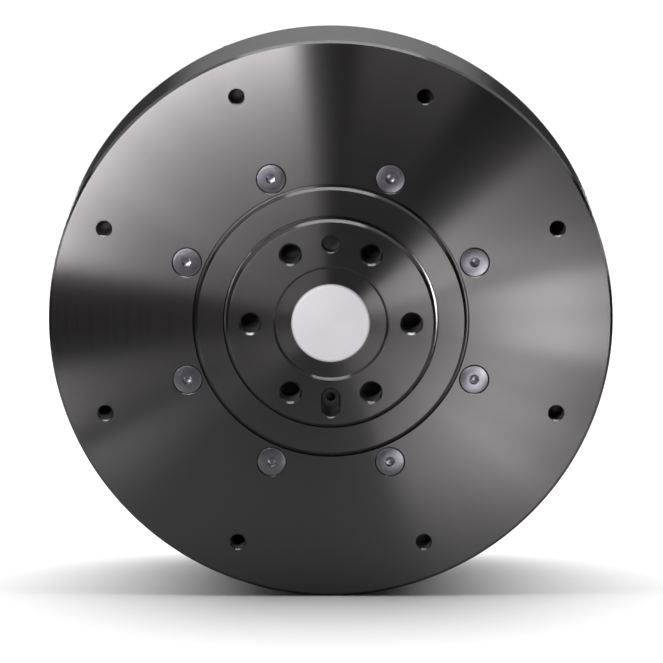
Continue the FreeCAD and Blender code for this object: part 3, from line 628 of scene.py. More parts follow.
class Form:
    """A closed mesh in millimetres, given by X and Z across the axis and stations along Y.

    Inside, it is kept in the axial frame: X, Z and -Y.
    """

    def __init__(self) -> None:
        """Starts with nothing."""
        self.mesh = bmesh.new()

    def _vertex(self, x: float, y: float, z: float) -> bmesh.types.BMVert:
        """Adds a vertex at a place given in row coordinates."""
        return self.mesh.verts.new((x, z, -y))

    def lathe(self, points: Sequence[Point], segments: int = 48, at: Point = (0.0, 0.0)) -> "Form":
        """Adds a solid of revolution about a line along Y.

        Args:
            points: the closed outline's (radius, y) points.
            segments: how many flats go round.
            at: the (x, z) of the line.

        Returns:
            The form itself.
        """
        rows: list[list[bmesh.types.BMVert]] = []
        for radius, y in points:
            if radius < 1e-6:
                rows.append([self._vertex(at[0], y, at[1])])
                continue
            turns = (polar(radius, a) for a in evenly(segments))
            rows.append([self._vertex(at[0] + x, y, at[1] + z) for x, z in turns])
        for low, high in zip(rows, rows[1:] + rows[:1]):
            for i in range(segments):
                j = (i + 1) % segments
                ring = [low[i % len(low)], low[j % len(low)], high[j % len(high)], high[i % len(high)]]
                corners = list(dict.fromkeys(ring))
                if len(corners) > 2:
                    self.mesh.faces.new(corners)
        return self

    def prism(self, corners: Sequence[Point], low: float, high: float) -> "Form":
        """Adds a prism along Y.

        Args:
            corners: its (x, z) corners.
            low: its first station.
            high: its last station.

        Returns:
            The form itself.
        """
        return self.loft(corners, low, corners, high)

    def loft(self, near: Sequence[Point], low: float, far: Sequence[Point], high: float) -> "Form":
        """Adds a solid between two outlines with as many corners.

        Args:
            near: the (x, z) corners at the first station.
            low: the first station.
            far: the corners at the last station.
            high: the last station.

        Returns:
            The form itself.
        """
        front = [self._vertex(x, low, z) for x, z in near]
        back = [self._vertex(x, high, z) for x, z in far]
        self.mesh.faces.new(front)
        self.mesh.faces.new(back)
        for i in range(len(front)):
            j = (i + 1) % len(front)
            self.mesh.faces.new((front[i], front[j], back[j], back[i]))
        return self

    def box(self, x: Point, y: Point, z: Point) -> "Form":
        """Adds a block from its three (low, high) spans."""
        return self.prism([(x[0], z[0]), (x[1], z[0]), (x[1], z[1]), (x[0], z[1])], y[0], y[1])

    def _settle(self) -> bpy.types.Object:
        """Turns the form into a working object with outward normals."""
        bmesh.ops.recalc_face_normals(self.mesh, faces=self.mesh.faces)
        data = bpy.data.meshes.new("working")
        self.mesh.to_mesh(data)
        return placed("working", data)

    def _modified(self, kind: str, **settings: Any) -> "Form":
        """Runs one modifier over the form.

        Args:
            kind: the modifier's type.
            settings: its properties.

        Returns:
            The form itself.
        """
        working = self._settle()
        modifier = working.modifiers.new("step", kind)
        for key, value in settings.items():
            setattr(modifier, key, value)
        bpy.context.view_layer.update()
        shown = working.evaluated_get(bpy.context.evaluated_depsgraph_get())
        result = bpy.data.meshes.new_from_object(shown)
        self.mesh.clear()
        self.mesh.from_mesh(result)
        data = working.data
        bpy.data.objects.remove(working)
        bpy.data.meshes.remove(data)
        bpy.data.meshes.remove(result)
        return self

    def _combined(self, operation: str, tools: Iterable["Form"]) -> "Form":
        """Joins or cuts with other forms, one after the other."""
        for tool in tools:
            other = tool._settle()
            self._modified("BOOLEAN", operation=operation, solver="EXACT", object=other)
            bpy.data.objects.remove(other)
        return self

    def cut(self, *tools: "Form") -> "Form":
        """Takes other forms away. The shells of one tool don't overlap each other."""
        return self._combined("DIFFERENCE", tools)

    def add(self, *tools: "Form") -> "Form":
        """Joins other forms on."""
        return self._combined("UNION", tools)

    def common(self, *tools: "Form") -> "Form":
        """Keeps only what lies inside other forms too."""
        return self._combined("INTERSECT", tools)

    def soften(self, width: float, segments: int = 2, angle: float = 40.0) -> "Form":
        """Rounds the sharp edges by a width in mm."""
        return self._modified(
            "BEVEL", width=width, segments=segments, limit_method="ANGLE", angle_limit=math.radians(angle),
            use_clamp_overlap=True, miter_outer="MITER_ARC",
        )

    def piece(
        self, name: str, look: Look, slot: str, body: str, place: Matrix = TO_ROW,
        stands_for: Sequence[str] = (), sharp: float = 28.0, wells: Sequence[Well] = (),
    ) -> bpy.types.Object:
        """Makes the visible piece.

        Args:
            name: the piece's name.
            look: its finish.
            slot: the record's material slot.
            body: the CAD body that it moves with.
            place: from its own frame to the row frame, in metres.
            stands_for: the CAD nodes that it replaces.
            sharp: edges over this angle in degrees stay sharp.
            wells: narrow holes, whose walls get the near-black finish of painted shade.

        Returns:
            The piece.
        """
        bmesh.ops.remove_doubles(self.mesh, verts=self.mesh.verts, dist=1e-5)
        bmesh.ops.dissolve_degenerate(self.mesh, edges=self.mesh.edges, dist=1e-6)
        bmesh.ops.recalc_face_normals(self.mesh, faces=self.mesh.faces)
        bmesh.ops.scale(self.mesh, vec=(MM, MM, MM), verts=self.mesh.verts)
        for face in self.mesh.faces:
            face.smooth = True
        for edge in self.mesh.edges:
            edge.smooth = len(edge.link_faces) == 2 and edge.calc_face_angle() < math.radians(sharp)
        data = bpy.data.meshes.new(name)
        self.mesh.to_mesh(data)
        self.mesh.free()
        made = placed(name, data)
        made.matrix_world = place
        data.materials.append(look.material)
        # painted shade: faces inside the wells take the near-black hole finish in place of the shadow in the
        # holes
        if wells:
            data.materials.append(Look.PAINTED_HOLE_SHADE.material)
        for face in data.polygons:
            x, z, back = face.center / MM
            face.material_index = int(any(well.holds(x, -back, z) for well in wells))
        shade = made.modifiers.new("flat_faces", "WEIGHTED_NORMAL")
        shade.keep_sharp = True
        shade.weight = 100
        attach(made, body)
        if stands_for:
            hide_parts(*stands_for)
        LOG.info("%s: %d faces, on %s", name, len(data.polygons), body)
        return made


def hexagon(across: float, turn: float = 0.0) -> list[Point]:
    """The (x, z) corners of a hexagon of a width across flats, turned by an angle in degrees."""
    return [polar(across / math.sqrt(3), turn + a) for a in evenly(6)]


def threaded(core: float, major: float, pitch: float, mouth: float, depth: float, edge: float) -> list[Point]:
    """The outline of a tapped hole's cutter.

    Args:
        core: the bore's radius.
        major: the thread's outer radius.
        pitch: the thread's pitch.
        mouth: the station where the hole opens towards -Y.
        depth: how deep the full bore goes.
        edge: the chamfer at the mouth.

    Returns:
        Its closed (radius, y) outline, from the drill point to above the mouth.
    """
    points = [(0.0, mouth + depth + 0.55 * core), (core, mouth + depth)]
    turns = int((depth - edge) / pitch)
    for i in range(turns, 0, -1):
        y = mouth + edge + (i - 0.5) * pitch
        points += [(core, y + 0.45 * pitch), (major, y + 0.06 * pitch), (major, y - 0.06 * pitch)]
    points += [(core, mouth + edge), (core + edge, mouth), (core + edge, mouth - 1), (0.0, mouth - 1)]
    return points


# ------------------------------------------------------------------ the case's front
@dataclass
class SocketScrew:
    """A socket screw by its head: its own frame has the head's top at 0, looking along +Z."""

    head_r: float
    shank_r: float
    across: float
    head_h: float
    length: float
    countersunk: bool = False
    edge: float = 0.08

    def form(self) -> Form:
        """The screw, with its head's top at station 0 and its tip towards +Y."""
        if self.countersunk:
            rim = 0.12
            cone_end = rim + self.head_r - self.shank_r
            under = [Corner(self.head_r, rim), Corner(self.shank_r, cone_end)]
        else:
            under = [Corner(self.head_r, self.head_h), Corner(self.shank_r, self.head_h)]
        corners = [Corner(0, 0), Corner(self.head_r, 0, self.edge), *under]
        corners += [Corner(self.shank_r, self.length - 0.3), Corner(self.shank_r - 0.3, self.length)]
        corners.append(Corner(0, self.length))
        form = Form().lathe(outline(corners), 48)
        inner = self.across / 2
        depth = 0.6 * self.head_h if not self.countersunk else 0.9
        bowl = [(0, -0.5), (inner + 0.65, -0.5), (inner + 0.14, 0), (inner - 0.3, 0.25), (0, 0.25)]
        mouth = Form().lathe(bowl, 48)
        hole = Form().prism(hexagon(self.across), -0.5, depth)
        point = Form().lathe([(0, depth - 0.05), (inner * 0.92, depth - 0.05), (0, depth + 0.3)], 24)
        return form.cut(hole, mouth, point)


@dataclass
class FrontCase:
    """The turned case: front plate, rim and outer wall, with its mounting threads and plate screws."""

    radius: float = 49.0
    edge: float = 0.45
    wall_bore: float = 44.2
    wall_end: float = 20.8
    rim_bore: float = 39.9
    rim: float = 8.6
    plate: float = 4.5
    recess_r: float = 23.95
    seat_r: float = 23.5
    seat_y: float = 1.6
    mount_angle: float = 22.5
    count: int = 8
    screw_circle: float = 27.0
    frame_screw_circle: float = 47.0
    sink_r: float = 2.65
    thread_relief: float = 0.22
    thread_pitch: float = 0.5
    thread_depth: float = 6.6
    thread_chamfer: float = 0.2
    mount: dict[str, Any] = field(default_factory=dict)

    def __post_init__(self) -> None:
        """Takes the outer radius and the threads' circle from the frame."""
        self.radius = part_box("front_housing")[1].x / MM
        self.mount = mount_dims("case_threads")
        self.count = self.mount["count"]

    def body(self) -> bpy.types.Object:
        """Turns the case and drills it."""
        corners = [
            Corner(self.recess_r + 0.12, 0), Corner(self.radius - self.edge, 0, 0.06),
            Corner(self.radius, self.edge, 0.06), Corner(self.radius, self.wall_end),
            Corner(self.wall_bore, self.wall_end), Corner(self.wall_bore, self.rim + 0.6),
            Corner(self.wall_bore - 0.6, self.rim), Corner(self.rim_bore, self.rim),
            Corner(self.rim_bore - 0.8, self.plate), Corner(self.seat_r, self.plate),
            Corner(self.seat_r, self.seat_y), Corner(self.recess_r, self.seat_y), Corner(self.recess_r, 0.12),
        ]
        form = Form().lathe(outline(corners), 256)
        core = self.mount["hole_r_mm"]
        angles = evenly(self.count, self.mount_angle)
        thread = threaded(
            core, core + self.thread_relief, self.thread_pitch, 0.0, self.thread_depth, self.thread_chamfer,
        )
        circle = self.mount["pcd_mm"] / 2
        wells = [Well(polar(circle, angle), core + 0.4, 0.19, 12.0) for angle in angles]
        threads, sinks, back = Form(), Form(), Form()
        for angle in angles:
            threads.lathe(thread, 40, polar(circle, angle))
            shank = [(0, self.plate + 1), (1.35, self.plate + 1), (1.35, 1.3)]
            head = [(self.sink_r, 0), (self.sink_r, -1), (0, -1)]
            sinks.lathe([*shank, *head], 56, polar(self.screw_circle, angle))
            hole = [(0, self.wall_end - 6), (0.82, self.wall_end - 6), (0.82, self.wall_end + 1)]
            back.lathe([*hole, (0, self.wall_end + 1)], 20, polar(self.frame_screw_circle, angle))
        form.cut(threads, sinks, back)
        return form.piece(
            "front_case", Look.CASE, "anodised_case", "housing", stands_for=["front_housing"], wells=wells,
        )

    def screws(self) -> list[bpy.types.Object]:
        """The countersunk screws round the retainer, each with its own hex turn."""
        made = []
        design = SocketScrew(2.45, 1.2, 1.5, 0.0, 7.94, countersunk=True)
        for i, angle in enumerate(evenly(self.count, self.mount_angle)):
            x, z = polar(self.screw_circle, angle)
            turn = Matrix.Rotation(math.radians(37.0 * i + 11.0), 4, "Z")
            place = Matrix.Translation((x * MM, 0.06 * MM, z * MM)) @ TO_ROW @ turn
            nodes = ["plate_screws"] if i == 0 else []
            name = f"plate_screw_{i + 1}"
            made.append(design.form().piece(name, Look.SCREW, "oxide_screws", "housing", place, nodes))
        return made

    def build(self) -> list[bpy.types.Object]:
        """Makes the case and its screws."""
        return [self.body(), *self.screws()]


# ------------------------------------------------------------------ the output
@dataclass
class OutputStage:
    """The bearing retainer, the output flange with its threads, dowel hole and slot, and the plug."""

    retainer_r: float = 23.65
    retainer_bore: float = 18.55
    retainer_face: float = -1.0
    seat: float = 23.93
    flange_r: float = 18.25
    face: float = -2.5
    back: float = 8.7
    journal_r: float = 17.5
    bearing: float = 1.6
    centre_recess_r: float = 9.6
    recess_floor: float = -2.0
    plug_r: float = 6.87
    plug_face: float = -2.45
    slot_length: float = 5.0
    slot_depth: float = 4.5
    dowel_depth: float = 3.5
    thread_relief: float = 0.32
    thread_pitch: float = 0.7
    thread_depth: float = 7.5
    thread_chamfer: float = 0.35
    vent_r: float = 0.8          # the small hole in the slot's floor
    vent_shift: float = 0.3      # from the threads' circle towards the axis

    def retainer(self) -> bpy.types.Object:
        """The turned ring that clamps the bearing, proud of the case with a chamfer outside."""
        corners = [
            Corner(self.retainer_bore + 0.15, self.retainer_face),
            Corner(self.retainer_r - 0.5, self.retainer_face, 0.05),
            Corner(self.retainer_r, self.retainer_face + 0.5, 0.05), Corner(self.retainer_r, 0.7),
            Corner(self.seat, 0.7), Corner(self.seat, self.bearing),
            Corner(20.8, self.bearing), Corner(20.8, 1.2),
            Corner(self.retainer_bore, 1.2), Corner(self.retainer_bore, self.retainer_face + 0.15),
        ]
        form = Form().lathe(outline(corners), 224)
        return form.piece(
            "retainer_ring", Look.OUTPUT, "anodised_output", "housing", stands_for=["bearing_retainer"],
        )

    def flange(self) -> bpy.types.Object:
        """The output flange, turned and drilled."""
        gap = self.plug_r + 0.02
        corners = [
            Corner(gap, self.recess_floor), Corner(self.centre_recess_r, self.recess_floor),
            Corner(self.centre_recess_r, self.recess_floor - 0.05),
            Corner(self.centre_recess_r + 0.45, self.face, 0.05),
            Corner(self.flange_r - 0.5, self.face, 0.05),
            Corner(self.flange_r, self.face + 0.5, 0.05), Corner(self.flange_r, self.bearing),
            Corner(self.journal_r, self.bearing), Corner(self.journal_r, self.back - 0.3),
            Corner(self.journal_r - 0.3, self.back), Corner(4.02, self.back),
            Corner(4.02, 4.0), Corner(2.5, 4.0),
            Corner(2.5, 1.5), Corner(gap, 1.5),
        ]
        form = Form().lathe(outline(corners), 225)
        mount, dowel = mount_dims("output_threads"), mount_dims("output_dowel")["r_mm"]
        core, circle = mount["hole_r_mm"], mount["pcd_mm"] / 2
        threads, slot, flare, pin_holes = Form(), Form(), Form(), Form()
        places = [polar(circle, angle) for angle in evenly(mount["count"])]
        wells = [Well(place, core + 0.5, self.face + 0.33, 20.0) for place in places]
        thread = threaded(
            core, core + self.thread_relief, self.thread_pitch,
            self.face, self.thread_depth, self.thread_chamfer,
        )
        for place in places:
            threads.lathe(thread, 44, place)
        bottom = self.face + self.dowel_depth
        edge = dowel + 0.15
        reamed = [(0, bottom), (dowel, bottom), (dowel, self.face + 0.15)]
        reamed += [(edge, self.face), (edge, -4), (0, -4)]
        threads.lathe(reamed, 44, polar(circle, 90))
        reach = self.slot_length / 2 - dowel
        walls = self.slot_corners(circle, dowel, reach)
        mouth = self.slot_corners(circle, dowel + 0.22, reach)
        slot.prism(walls, -4.0, self.face + self.slot_depth)
        flare.loft(mouth, self.face - 0.01, walls, self.face + 0.21)
        wells.append(Well(polar(circle, 90), dowel + 0.02, self.face + 0.14, bottom - 0.02))
        wells += [
            Well((0.0, side - circle), dowel + 0.05, self.face + 0.2, self.face + self.slot_depth - 0.02)
            for side in (-reach, 0.0, reach)
        ]
        vent = (0.0, self.vent_shift - circle)
        wells.append(Well(vent, self.vent_r + 0.02, self.face + self.slot_depth + 0.02, 20.0))
        for angle in (30, 150, 270):
            pin_holes.lathe([(0, 4.2), (2.01, 4.2), (2.01, 10), (0, 10)], 32, polar(13.5, angle))
            pin_holes.lathe([(0, 3.3), (1.47, 3.3), (1.47, 10), (0, 10)], 32, polar(15.0, angle + 60))
        deep = Form().lathe([(0, 4.0), (self.vent_r, 3.7), (self.vent_r, 0.0), (0, 0.0)], 25, vent)
        form.cut(slot, flare, deep, pin_holes, threads)
        return form.piece(
            "output_plate", Look.OUTPUT, "anodised_output", "output",
            stands_for=["output_flange"], wells=wells,
        )

    @staticmethod
    def slot_corners(circle: float, half: float, reach: float) -> list[Point]:
        """The (x, z) outline of the slot opposite the dowel hole, along the radius.

        Args:
            circle: the radius of the circle that its middle lies on.
            half: half of its width.
            reach: from its middle to the centre of each round end.

        Returns:
            The corners, with round ends.
        """
        steps = 13
        corners = []
        for side, first in ((reach, 0), (-reach, 180)):
            for i in range(steps + 1):
                x, z = polar(half, first + 180 * i / steps)
                corners.append((x, z - circle + side))
        return corners

    def plug(self) -> bpy.types.Object:
        """The bright plug with its rounded front edge."""
        corners = [
            Corner(0, self.plug_face), Corner(self.plug_r, self.plug_face, 0.5), Corner(self.plug_r, 1.1),
            Corner(self.plug_r - 0.3, 1.4), Corner(4.5, 1.4), Corner(4.5, -0.6), Corner(0, -0.6),
        ]
        form = Form().lathe(outline(corners, 8), 192)
        return form.piece("plug_cap", Look.PLUG, "satin_plug", "output", stands_for=["centre_plug"])

    def build(self) -> list[bpy.types.Object]:
        """Makes the output's visible pieces."""
        return [self.retainer(), self.flange(), self.plug()]


# ------------------------------------------------------------------ the rear
@dataclass
class RearCase:
    """The rear frame that closes the case and the moulded driver cover behind it, with their screws."""

    radius: float = 49.0
    wall_bore: float = 44.2
    wall_end: float = 20.8
    flange_end: float = 22.3
    edge: float = 0.45
    web: tuple[float, float] = (24.2, 25.8)
    cover_r: float = 46.4
    cover_bore: float = 44.0
    cover_face: float = 36.0
    cover_wall: float = 1.6
    cover_edge: float = 1.4
    bearing_r: float = 9.5
    bearing_end: float = 29.4
    board_front: float = 31.2
    board_screw_circle: float = 33.0
    frame_screw_circle: float = 47.0
    frame_screw_angles: Sequence[float] = field(default_factory=lambda: evenly(8, 22.5))
    cover_screw_circle: float = 41.5
    cover_screw_angles: Sequence[float] = (0, 45, 135, 180, 225, 315)
    head_recess: tuple[float, float] = (2.3, 2.2)
    scallop_r: float = 2.1
    bay_half: float = 20.0
    bay_z: float = -38.0
    lead_half: float = 3.25
    lead_track: float = 45.85

    def round_cutters(
        self, circle: float, angles: Sequence[float], radius: float, low: float, high: float,
    ) -> Form:
        """Cylinders along Y round a circle.

        Args:
            circle: the circle's radius.
            angles: where they stand, in degrees.
            radius: their own radius.
            low: their first station.
            high: their last station.

        Returns:
            The cutters, as one form.
        """
        form = Form()
        for angle in angles:
            form.lathe([(0, low), (radius, low), (radius, high), (0, high)], 40, polar(circle, angle))
        return form

    def at_frame_screws(self, radius: float, low: float, high: float) -> Form:
        """Cylinders on the lines of the frame's screws."""
        return self.round_cutters(self.frame_screw_circle, self.frame_screw_angles, radius, low, high)

    def at_cover_screws(self, radius: float, low: float, high: float) -> Form:
        """Cylinders on the lines of the cover's screws."""
        return self.round_cutters(self.cover_screw_circle, self.cover_screw_angles, radius, low, high)

    def frame_piece(self) -> bpy.types.Object:
        """The rear frame: flange, web, bearing boss, posts and heat block."""
        low, high = self.web
        corners = [
            Corner(self.bearing_r, low), Corner(self.wall_bore - 0.8, low),
            Corner(self.wall_bore - 0.2, low - 0.6),
            Corner(self.wall_bore - 0.2, self.wall_end), Corner(self.radius, self.wall_end),
            Corner(self.radius, self.flange_end - self.edge, 0.06),
            Corner(self.radius - self.edge, self.flange_end, 0.06),
            Corner(self.cover_r, self.flange_end), Corner(self.cover_r, high), Corner(12.6, high),
            Corner(12.0, high + 0.6), Corner(12.0, 29.7), Corner(11.7, 30.0), Corner(8.3, 30.0),
            Corner(8.3, self.bearing_end), Corner(self.bearing_r, self.bearing_end),
        ]
        form = Form().lathe(outline(corners), 256)
        quarter = evenly(4, 45)
        posts = self.round_cutters(self.board_screw_circle, quarter, 2.4, high - 0.4, self.board_front)
        bosses = self.at_cover_screws(2.5, high - 0.4, 29.0)
        heat_block = Form().box((-16, 16), (high - 0.4, 29.4), (16.5, 26.5))
        form.add(posts, bosses, heat_block)
        form.cut(
            self.round_cutters(self.board_screw_circle, quarter, 0.82, high - 1.0, self.board_front + 1),
            self.at_cover_screws(1.02, high - 1.0, 30.0),
            self.at_frame_screws(1.1, 20.0, 22.6),
            self.at_frame_screws(self.scallop_r, 22.0, high + 1),
            Form().box(
                (-self.lead_half, self.lead_half), (self.wall_end - 1, high + 1), (43.0, self.lead_track - 0.05),
            ),
        )
        return form.piece("frame_plate", Look.FRAME, "anodised_case", "housing", stands_for=["rear_frame"])

    def cover(self) -> bpy.types.Object:
        """The moulded cover: walls, screw bosses, tool scallops and the connector bay."""
        low, face = self.web[1], self.cover_face
        bore, inner = self.cover_bore, self.cover_face - self.cover_wall
        shell = outline([
            Corner(0, inner), Corner(bore, inner, 0.5), Corner(bore, low), Corner(self.cover_r, low),
            Corner(self.cover_r, face, self.cover_edge), Corner(0, face),
        ], 6)
        form = Form().lathe(shell, 224)
        limit = Form().lathe([(0, low), (bore + 1.0, low), (bore + 1.0, inner + 0.4), (0, inner + 0.4)], 224)
        half = self.bay_half + 1.4
        walls = Form().box((-half, half), (low, inner + 0.4), (-60, self.bay_z + 1.4))
        bosses = self.at_cover_screws(2.8, 29.0, inner + 0.4)
        pads = self.at_frame_screws(3.1, low, inner + 0.4)
        inside = pads.add(walls).common(limit)
        form.add(inside, bosses)
        depth = self.head_recess[1]
        form.cut(
            Form().box((-self.bay_half, self.bay_half), (low - 1, face + 1), (-60, self.bay_z)),
            self.at_frame_screws(self.scallop_r, low - 1, face + 1),
            self.at_cover_screws(self.head_recess[0], face - depth, 37),
            self.at_cover_screws(1.35, 28.5, face - 1),
            self.at_cover_screws(2.6, low - 1, 29.0),
            Form().box((-self.lead_half, self.lead_half), (low - 1, 30.0), (40.0, self.lead_track - 0.05)),
        )
        windows = Form()
        top = self.board_front + 0.15
        for name in ("power_socket", "bus_socket", "debug_socket"):
            near, far = (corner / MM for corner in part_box(name))
            windows.box((near.x - 0.15, far.x + 0.15), (near.y - 0.3, top), (self.bay_z - 1, self.bay_z + 3))
        form.cut(windows)
        form.soften(0.18, 2, 42.0)
        return form.piece("driver_cover", Look.COVER, "cover_plastic", "housing", stands_for=["rear_cover"])

    def screws(
        self, stem: str, node: str, design: SocketScrew, circle: float, angles: Sequence[float], top: float,
    ) -> list[bpy.types.Object]:
        """One set of socket screws whose heads look towards +Y.

        Args:
            stem: their name.
            node: the CAD node that they stand for.
            design: the screw.
            circle: the radius that they stand on.
            angles: where they stand, in degrees.
            top: the station of their heads' tops.

        Returns:
            The screws.
        """
        made = []
        over = Matrix.Rotation(math.pi, 4, "Z")
        for i, angle in enumerate(angles):
            x, z = polar(circle, angle)
            turn = Matrix.Rotation(math.radians(23.0 * i), 4, "Y")
            place = Matrix.Translation((x * MM, top * MM, z * MM)) @ over @ turn @ TO_ROW
            nodes = [node] if i == 0 else []
            name = f"{stem}_{i + 1}"
            made.append(design.form().piece(name, Look.SCREW, "oxide_screws", "housing", place, nodes))
        return made

    def build(self) -> list[bpy.types.Object]:
        """Makes the rear's pieces."""
        small = SocketScrew(1.9, 0.8, 1.5, 1.6, self.flange_end + 1.3 - self.wall_end + 5, edge=0.15)
        large = SocketScrew(2.1, 1.0, 1.5, 1.7, self.cover_face - 0.5 - 26.2, edge=0.15)
        frame_set = self.screws(
            "frame_screw", "frame_screws", small, self.frame_screw_circle, self.frame_screw_angles,
            self.flange_end + 1.3,
        )
        cover_set = self.screws(
            "cover_screw", "cover_screws", large, self.cover_screw_circle, self.cover_screw_angles,
            self.cover_face - 0.5,
        )
        return [self.frame_piece(), self.cover(), *frame_set, *cover_set]


# ------------------------------------------------------------------ connectors
@dataclass(frozen=True)
class SocketSpec:
    """One socket: its name, CAD node, look, slot, wall, cavity depth and keys in the cavity's sides."""

    name: str
    node: str
    look: Look
    slot: str
    wall: float
    depth: float
    keys: tuple[float, ...]


@dataclass
class Connectors:
    """The right-angle sockets in the bay, open towards -Z, and their contacts.

    Each is built with its mouth looking along its own -Y, and then turned to look down.
    """

    specs: tuple[SocketSpec, ...] = (
        SocketSpec("power_connector", "power_socket", Look.POWER, "power_plastic", 0.8, 7.0, (-1.9, 2.6)),
        SocketSpec("bus_connector", "bus_socket", Look.SOCKET, "socket_plastic", 0.7, 4.5, (-2.4, 2.4)),
        SocketSpec("debug_connector", "debug_socket", Look.SOCKET, "socket_plastic", 0.7, 4.5, (-1.7, 1.7)),
    )

    def shell(self, spec: SocketSpec) -> bpy.types.Object:
        """One socket's shell, in its own frame with the mouth at 0 and its length along +Z.

        Args:
            spec: the socket.

        Returns:
            The shell.
        """
        low, high = (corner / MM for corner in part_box(spec.node))
        width, height, length = high.x - low.x, high.y - low.y, high.z - low.z
        half_w, half_h = width / 2, height / 2
        form = Form().prism(self.chamfered(half_w, half_h, 0.6), 0.0, length)
        wall = spec.wall
        mouth = Form().prism(self.chamfered(half_w - wall, half_h - wall, 0.1), -1.0, spec.depth)
        lead_in = self.funnel(half_w - wall, half_h - wall, 0.3)
        form.cut(mouth, lead_in)
        for key in spec.keys:
            rib_top = -half_h + wall + 0.35
            rib = Form().box((key - 0.35, key + 0.35), (0.6, spec.depth + 0.2), (-half_h + wall - 0.3, rib_top))
            form.add(rib)
        form.soften(0.12, 2, 42.0)
        middle = ((low + high) / 2) * MM
        place = Matrix.Translation((middle.x, middle.y, low.z * MM)) @ TO_ROW @ TO_ROW
        return form.piece(spec.name, spec.look, spec.slot, "housing", place, [spec.node])

    @staticmethod
    def chamfered(half_w: float, half_h: float, cut: float) -> list[Point]:
        """A rectangle's corners, with the two on the side away from the board cut off."""
        return [
            (-half_w, half_h), (-half_w, -half_h + cut), (-half_w + cut, -half_h), (half_w - cut, -half_h),
            (half_w, -half_h + cut), (half_w, half_h),
        ]

    @staticmethod
    def funnel(half_w: float, half_h: float, lead: float) -> Form:
        """The cutter of the lead-in round a socket's mouth."""
        form = Form()
        rings = []
        for grow, y in ((lead + 0.2, -0.2), (lead, 0.0), (0.0, lead), (0.0, lead + 0.2)):
            w, h = half_w + grow, half_h + grow
            rings.append([form._vertex(x, y, z) for x, z in ((-w, -h), (w, -h), (w, h), (-w, h))])
        form.mesh.faces.new(rings[0])
        form.mesh.faces.new(rings[-1])
        for near, far in zip(rings, rings[1:]):
            for i in range(4):
                j = (i + 1) % 4
                form.mesh.faces.new((near[i], near[j], far[j], far[i]))
        return form

    def contact(
        self, name: str, x: float, y: float, radius: float, low: float, high: float,
    ) -> bpy.types.Object:
        """One round contact with a blunt tip towards -Z.

        Args:
            name: its name.
            x: its place along X, in mm.
            y: its place along Y.
            radius: its radius.
            low: where its tip is along Z.
            high: where it ends along Z.

        Returns:
            The contact.
        """
        blunt = radius * 0.5
        length = high - low
        corners = [Corner(0, 0), Corner(radius, 0, blunt * 0.8), Corner(radius, length), Corner(0, length)]
        form = Form().lathe(outline(corners, 5), 28)
        place = Matrix.Translation((x * MM, y * MM, low * MM)) @ TO_ROW @ TO_ROW
        return form.piece(name, Look.GOLD, "gold_contact", "housing", place)

    def contacts(self) -> list[bpy.types.Object]:
        """The power socket's two blades with their signal pair, and the small sockets' rows."""
        made = []
        power_low, power_high = (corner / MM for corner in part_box("power_pins"))
        thick, thin, apart = 1.0, 0.4, 0.7
        middle = (power_low.y + power_high.y) / 2
        first = power_low.x + thick
        span = (power_low.z, power_high.z)
        rows = [(first, middle, thick), (first + 5.0, middle, thick)]
        rows += [(power_high.x - thin, middle + side * apart, thin) for side in (-1, 1)]
        for i, (x, y, radius) in enumerate(rows):
            made.append(self.contact(f"power_contact_{i + 1}", x, y, radius, *span))
        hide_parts("power_pins")
        small_low, small_high = (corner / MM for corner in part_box("signal_pins"))
        pitch, radius = 1.25, 0.25
        row = (small_low.y + small_high.y) / 2
        first, last = small_low.x + radius, small_high.x - radius
        places = [first + pitch * i for i in range(4)] + [last - pitch * i for i in range(3)]
        for i, x in enumerate(places):
            made.append(self.contact(f"signal_contact_{i + 1}", x, row, radius, small_low.z, small_high.z))
        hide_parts("signal_pins")
        return made

    def build(self) -> list[bpy.types.Object]:
        """Makes the sockets and their contacts."""
        return [*(self.shell(spec) for spec in self.specs), *self.contacts()]


# ------------------------------------------------------------------ the inside
@dataclass
class Interior:
    """The pieces inside the case. They keep the model's own shape and take a finish each."""

    finishes: dict[str, Look] = field(default_factory=lambda: {
        "anodised_case": Look.FRAME, "gear_steel": Look.GEAR, "bearing_steel": Look.BEARING,
        "bronze_bush": Look.BRONZE, "bare_aluminium": Look.ALUMINIUM, "plated_magnet": Look.MAGNET,
        "soft_iron": Look.SHEETS, "insulation": Look.ENDCAP, "enamelled_copper": Look.COPPER,
        "lead_sleeve": Look.LEAD, "board_laminate": Look.BOARD, "chip_resin": Look.CHIP,
        "can_aluminium": Look.CAN, "oxide_screws": Look.SCREW, "seal_rubber": Look.COVER,
    })
    special: dict[str, Look] = field(default_factory=lambda: {
        "thermal_pad": Look.PAD, "flux_ring": Look.IRON, "rear_bearing_cage": Look.BRONZE,
    })

    def build(self) -> int:
        """Gives every piece that nothing stands for its finish.

        Returns:
            How many pieces were finished.
        """
        slots = {part["node"]: part["material_slot"] for part in frame["record"]["subparts"]}
        shown = {name: node for name, node in frame["nodes"].items() if not node.hide_render}
        for name, node in shown.items():
            look = self.special.get(name, self.finishes.get(slots[name], Look.CASE))
            node.data.materials.clear()
            node.data.materials.append(look.value.material(in_row=True))
        return len(shown)


# ------------------------------------------------------------------ the studio
def panel(name: str, size: tuple[float, float], watts: float) -> bpy.types.Object:
    """A rectangular light that the camera doesn't see.

    Args:
        name: its name.
        size: its width and height, in metres.
        watts: its power.

    Returns:
        The light, at the origin.
    """
    data = bpy.data.lights.new(name, "AREA")
    data.shape = "RECTANGLE"
    data.size, data.size_y = size
    data.energy = watts
    light = placed(name, data)
    light.visible_camera = False
    return light


def spare(light: bpy.types.Object, *objects: bpy.types.Object) -> None:
    """Keeps a light off some objects.

    Args:
        light: the light.
        *objects: what it doesn't reach.
    """
    spared = bpy.data.collections.new(f"{light.name}_spares")
    for item in objects:
        spared.objects.link(item)
    for entry in spared.collection_objects:
        entry.light_linking.link_state = "EXCLUDE"
    light.light_linking.receiver_collection = spared


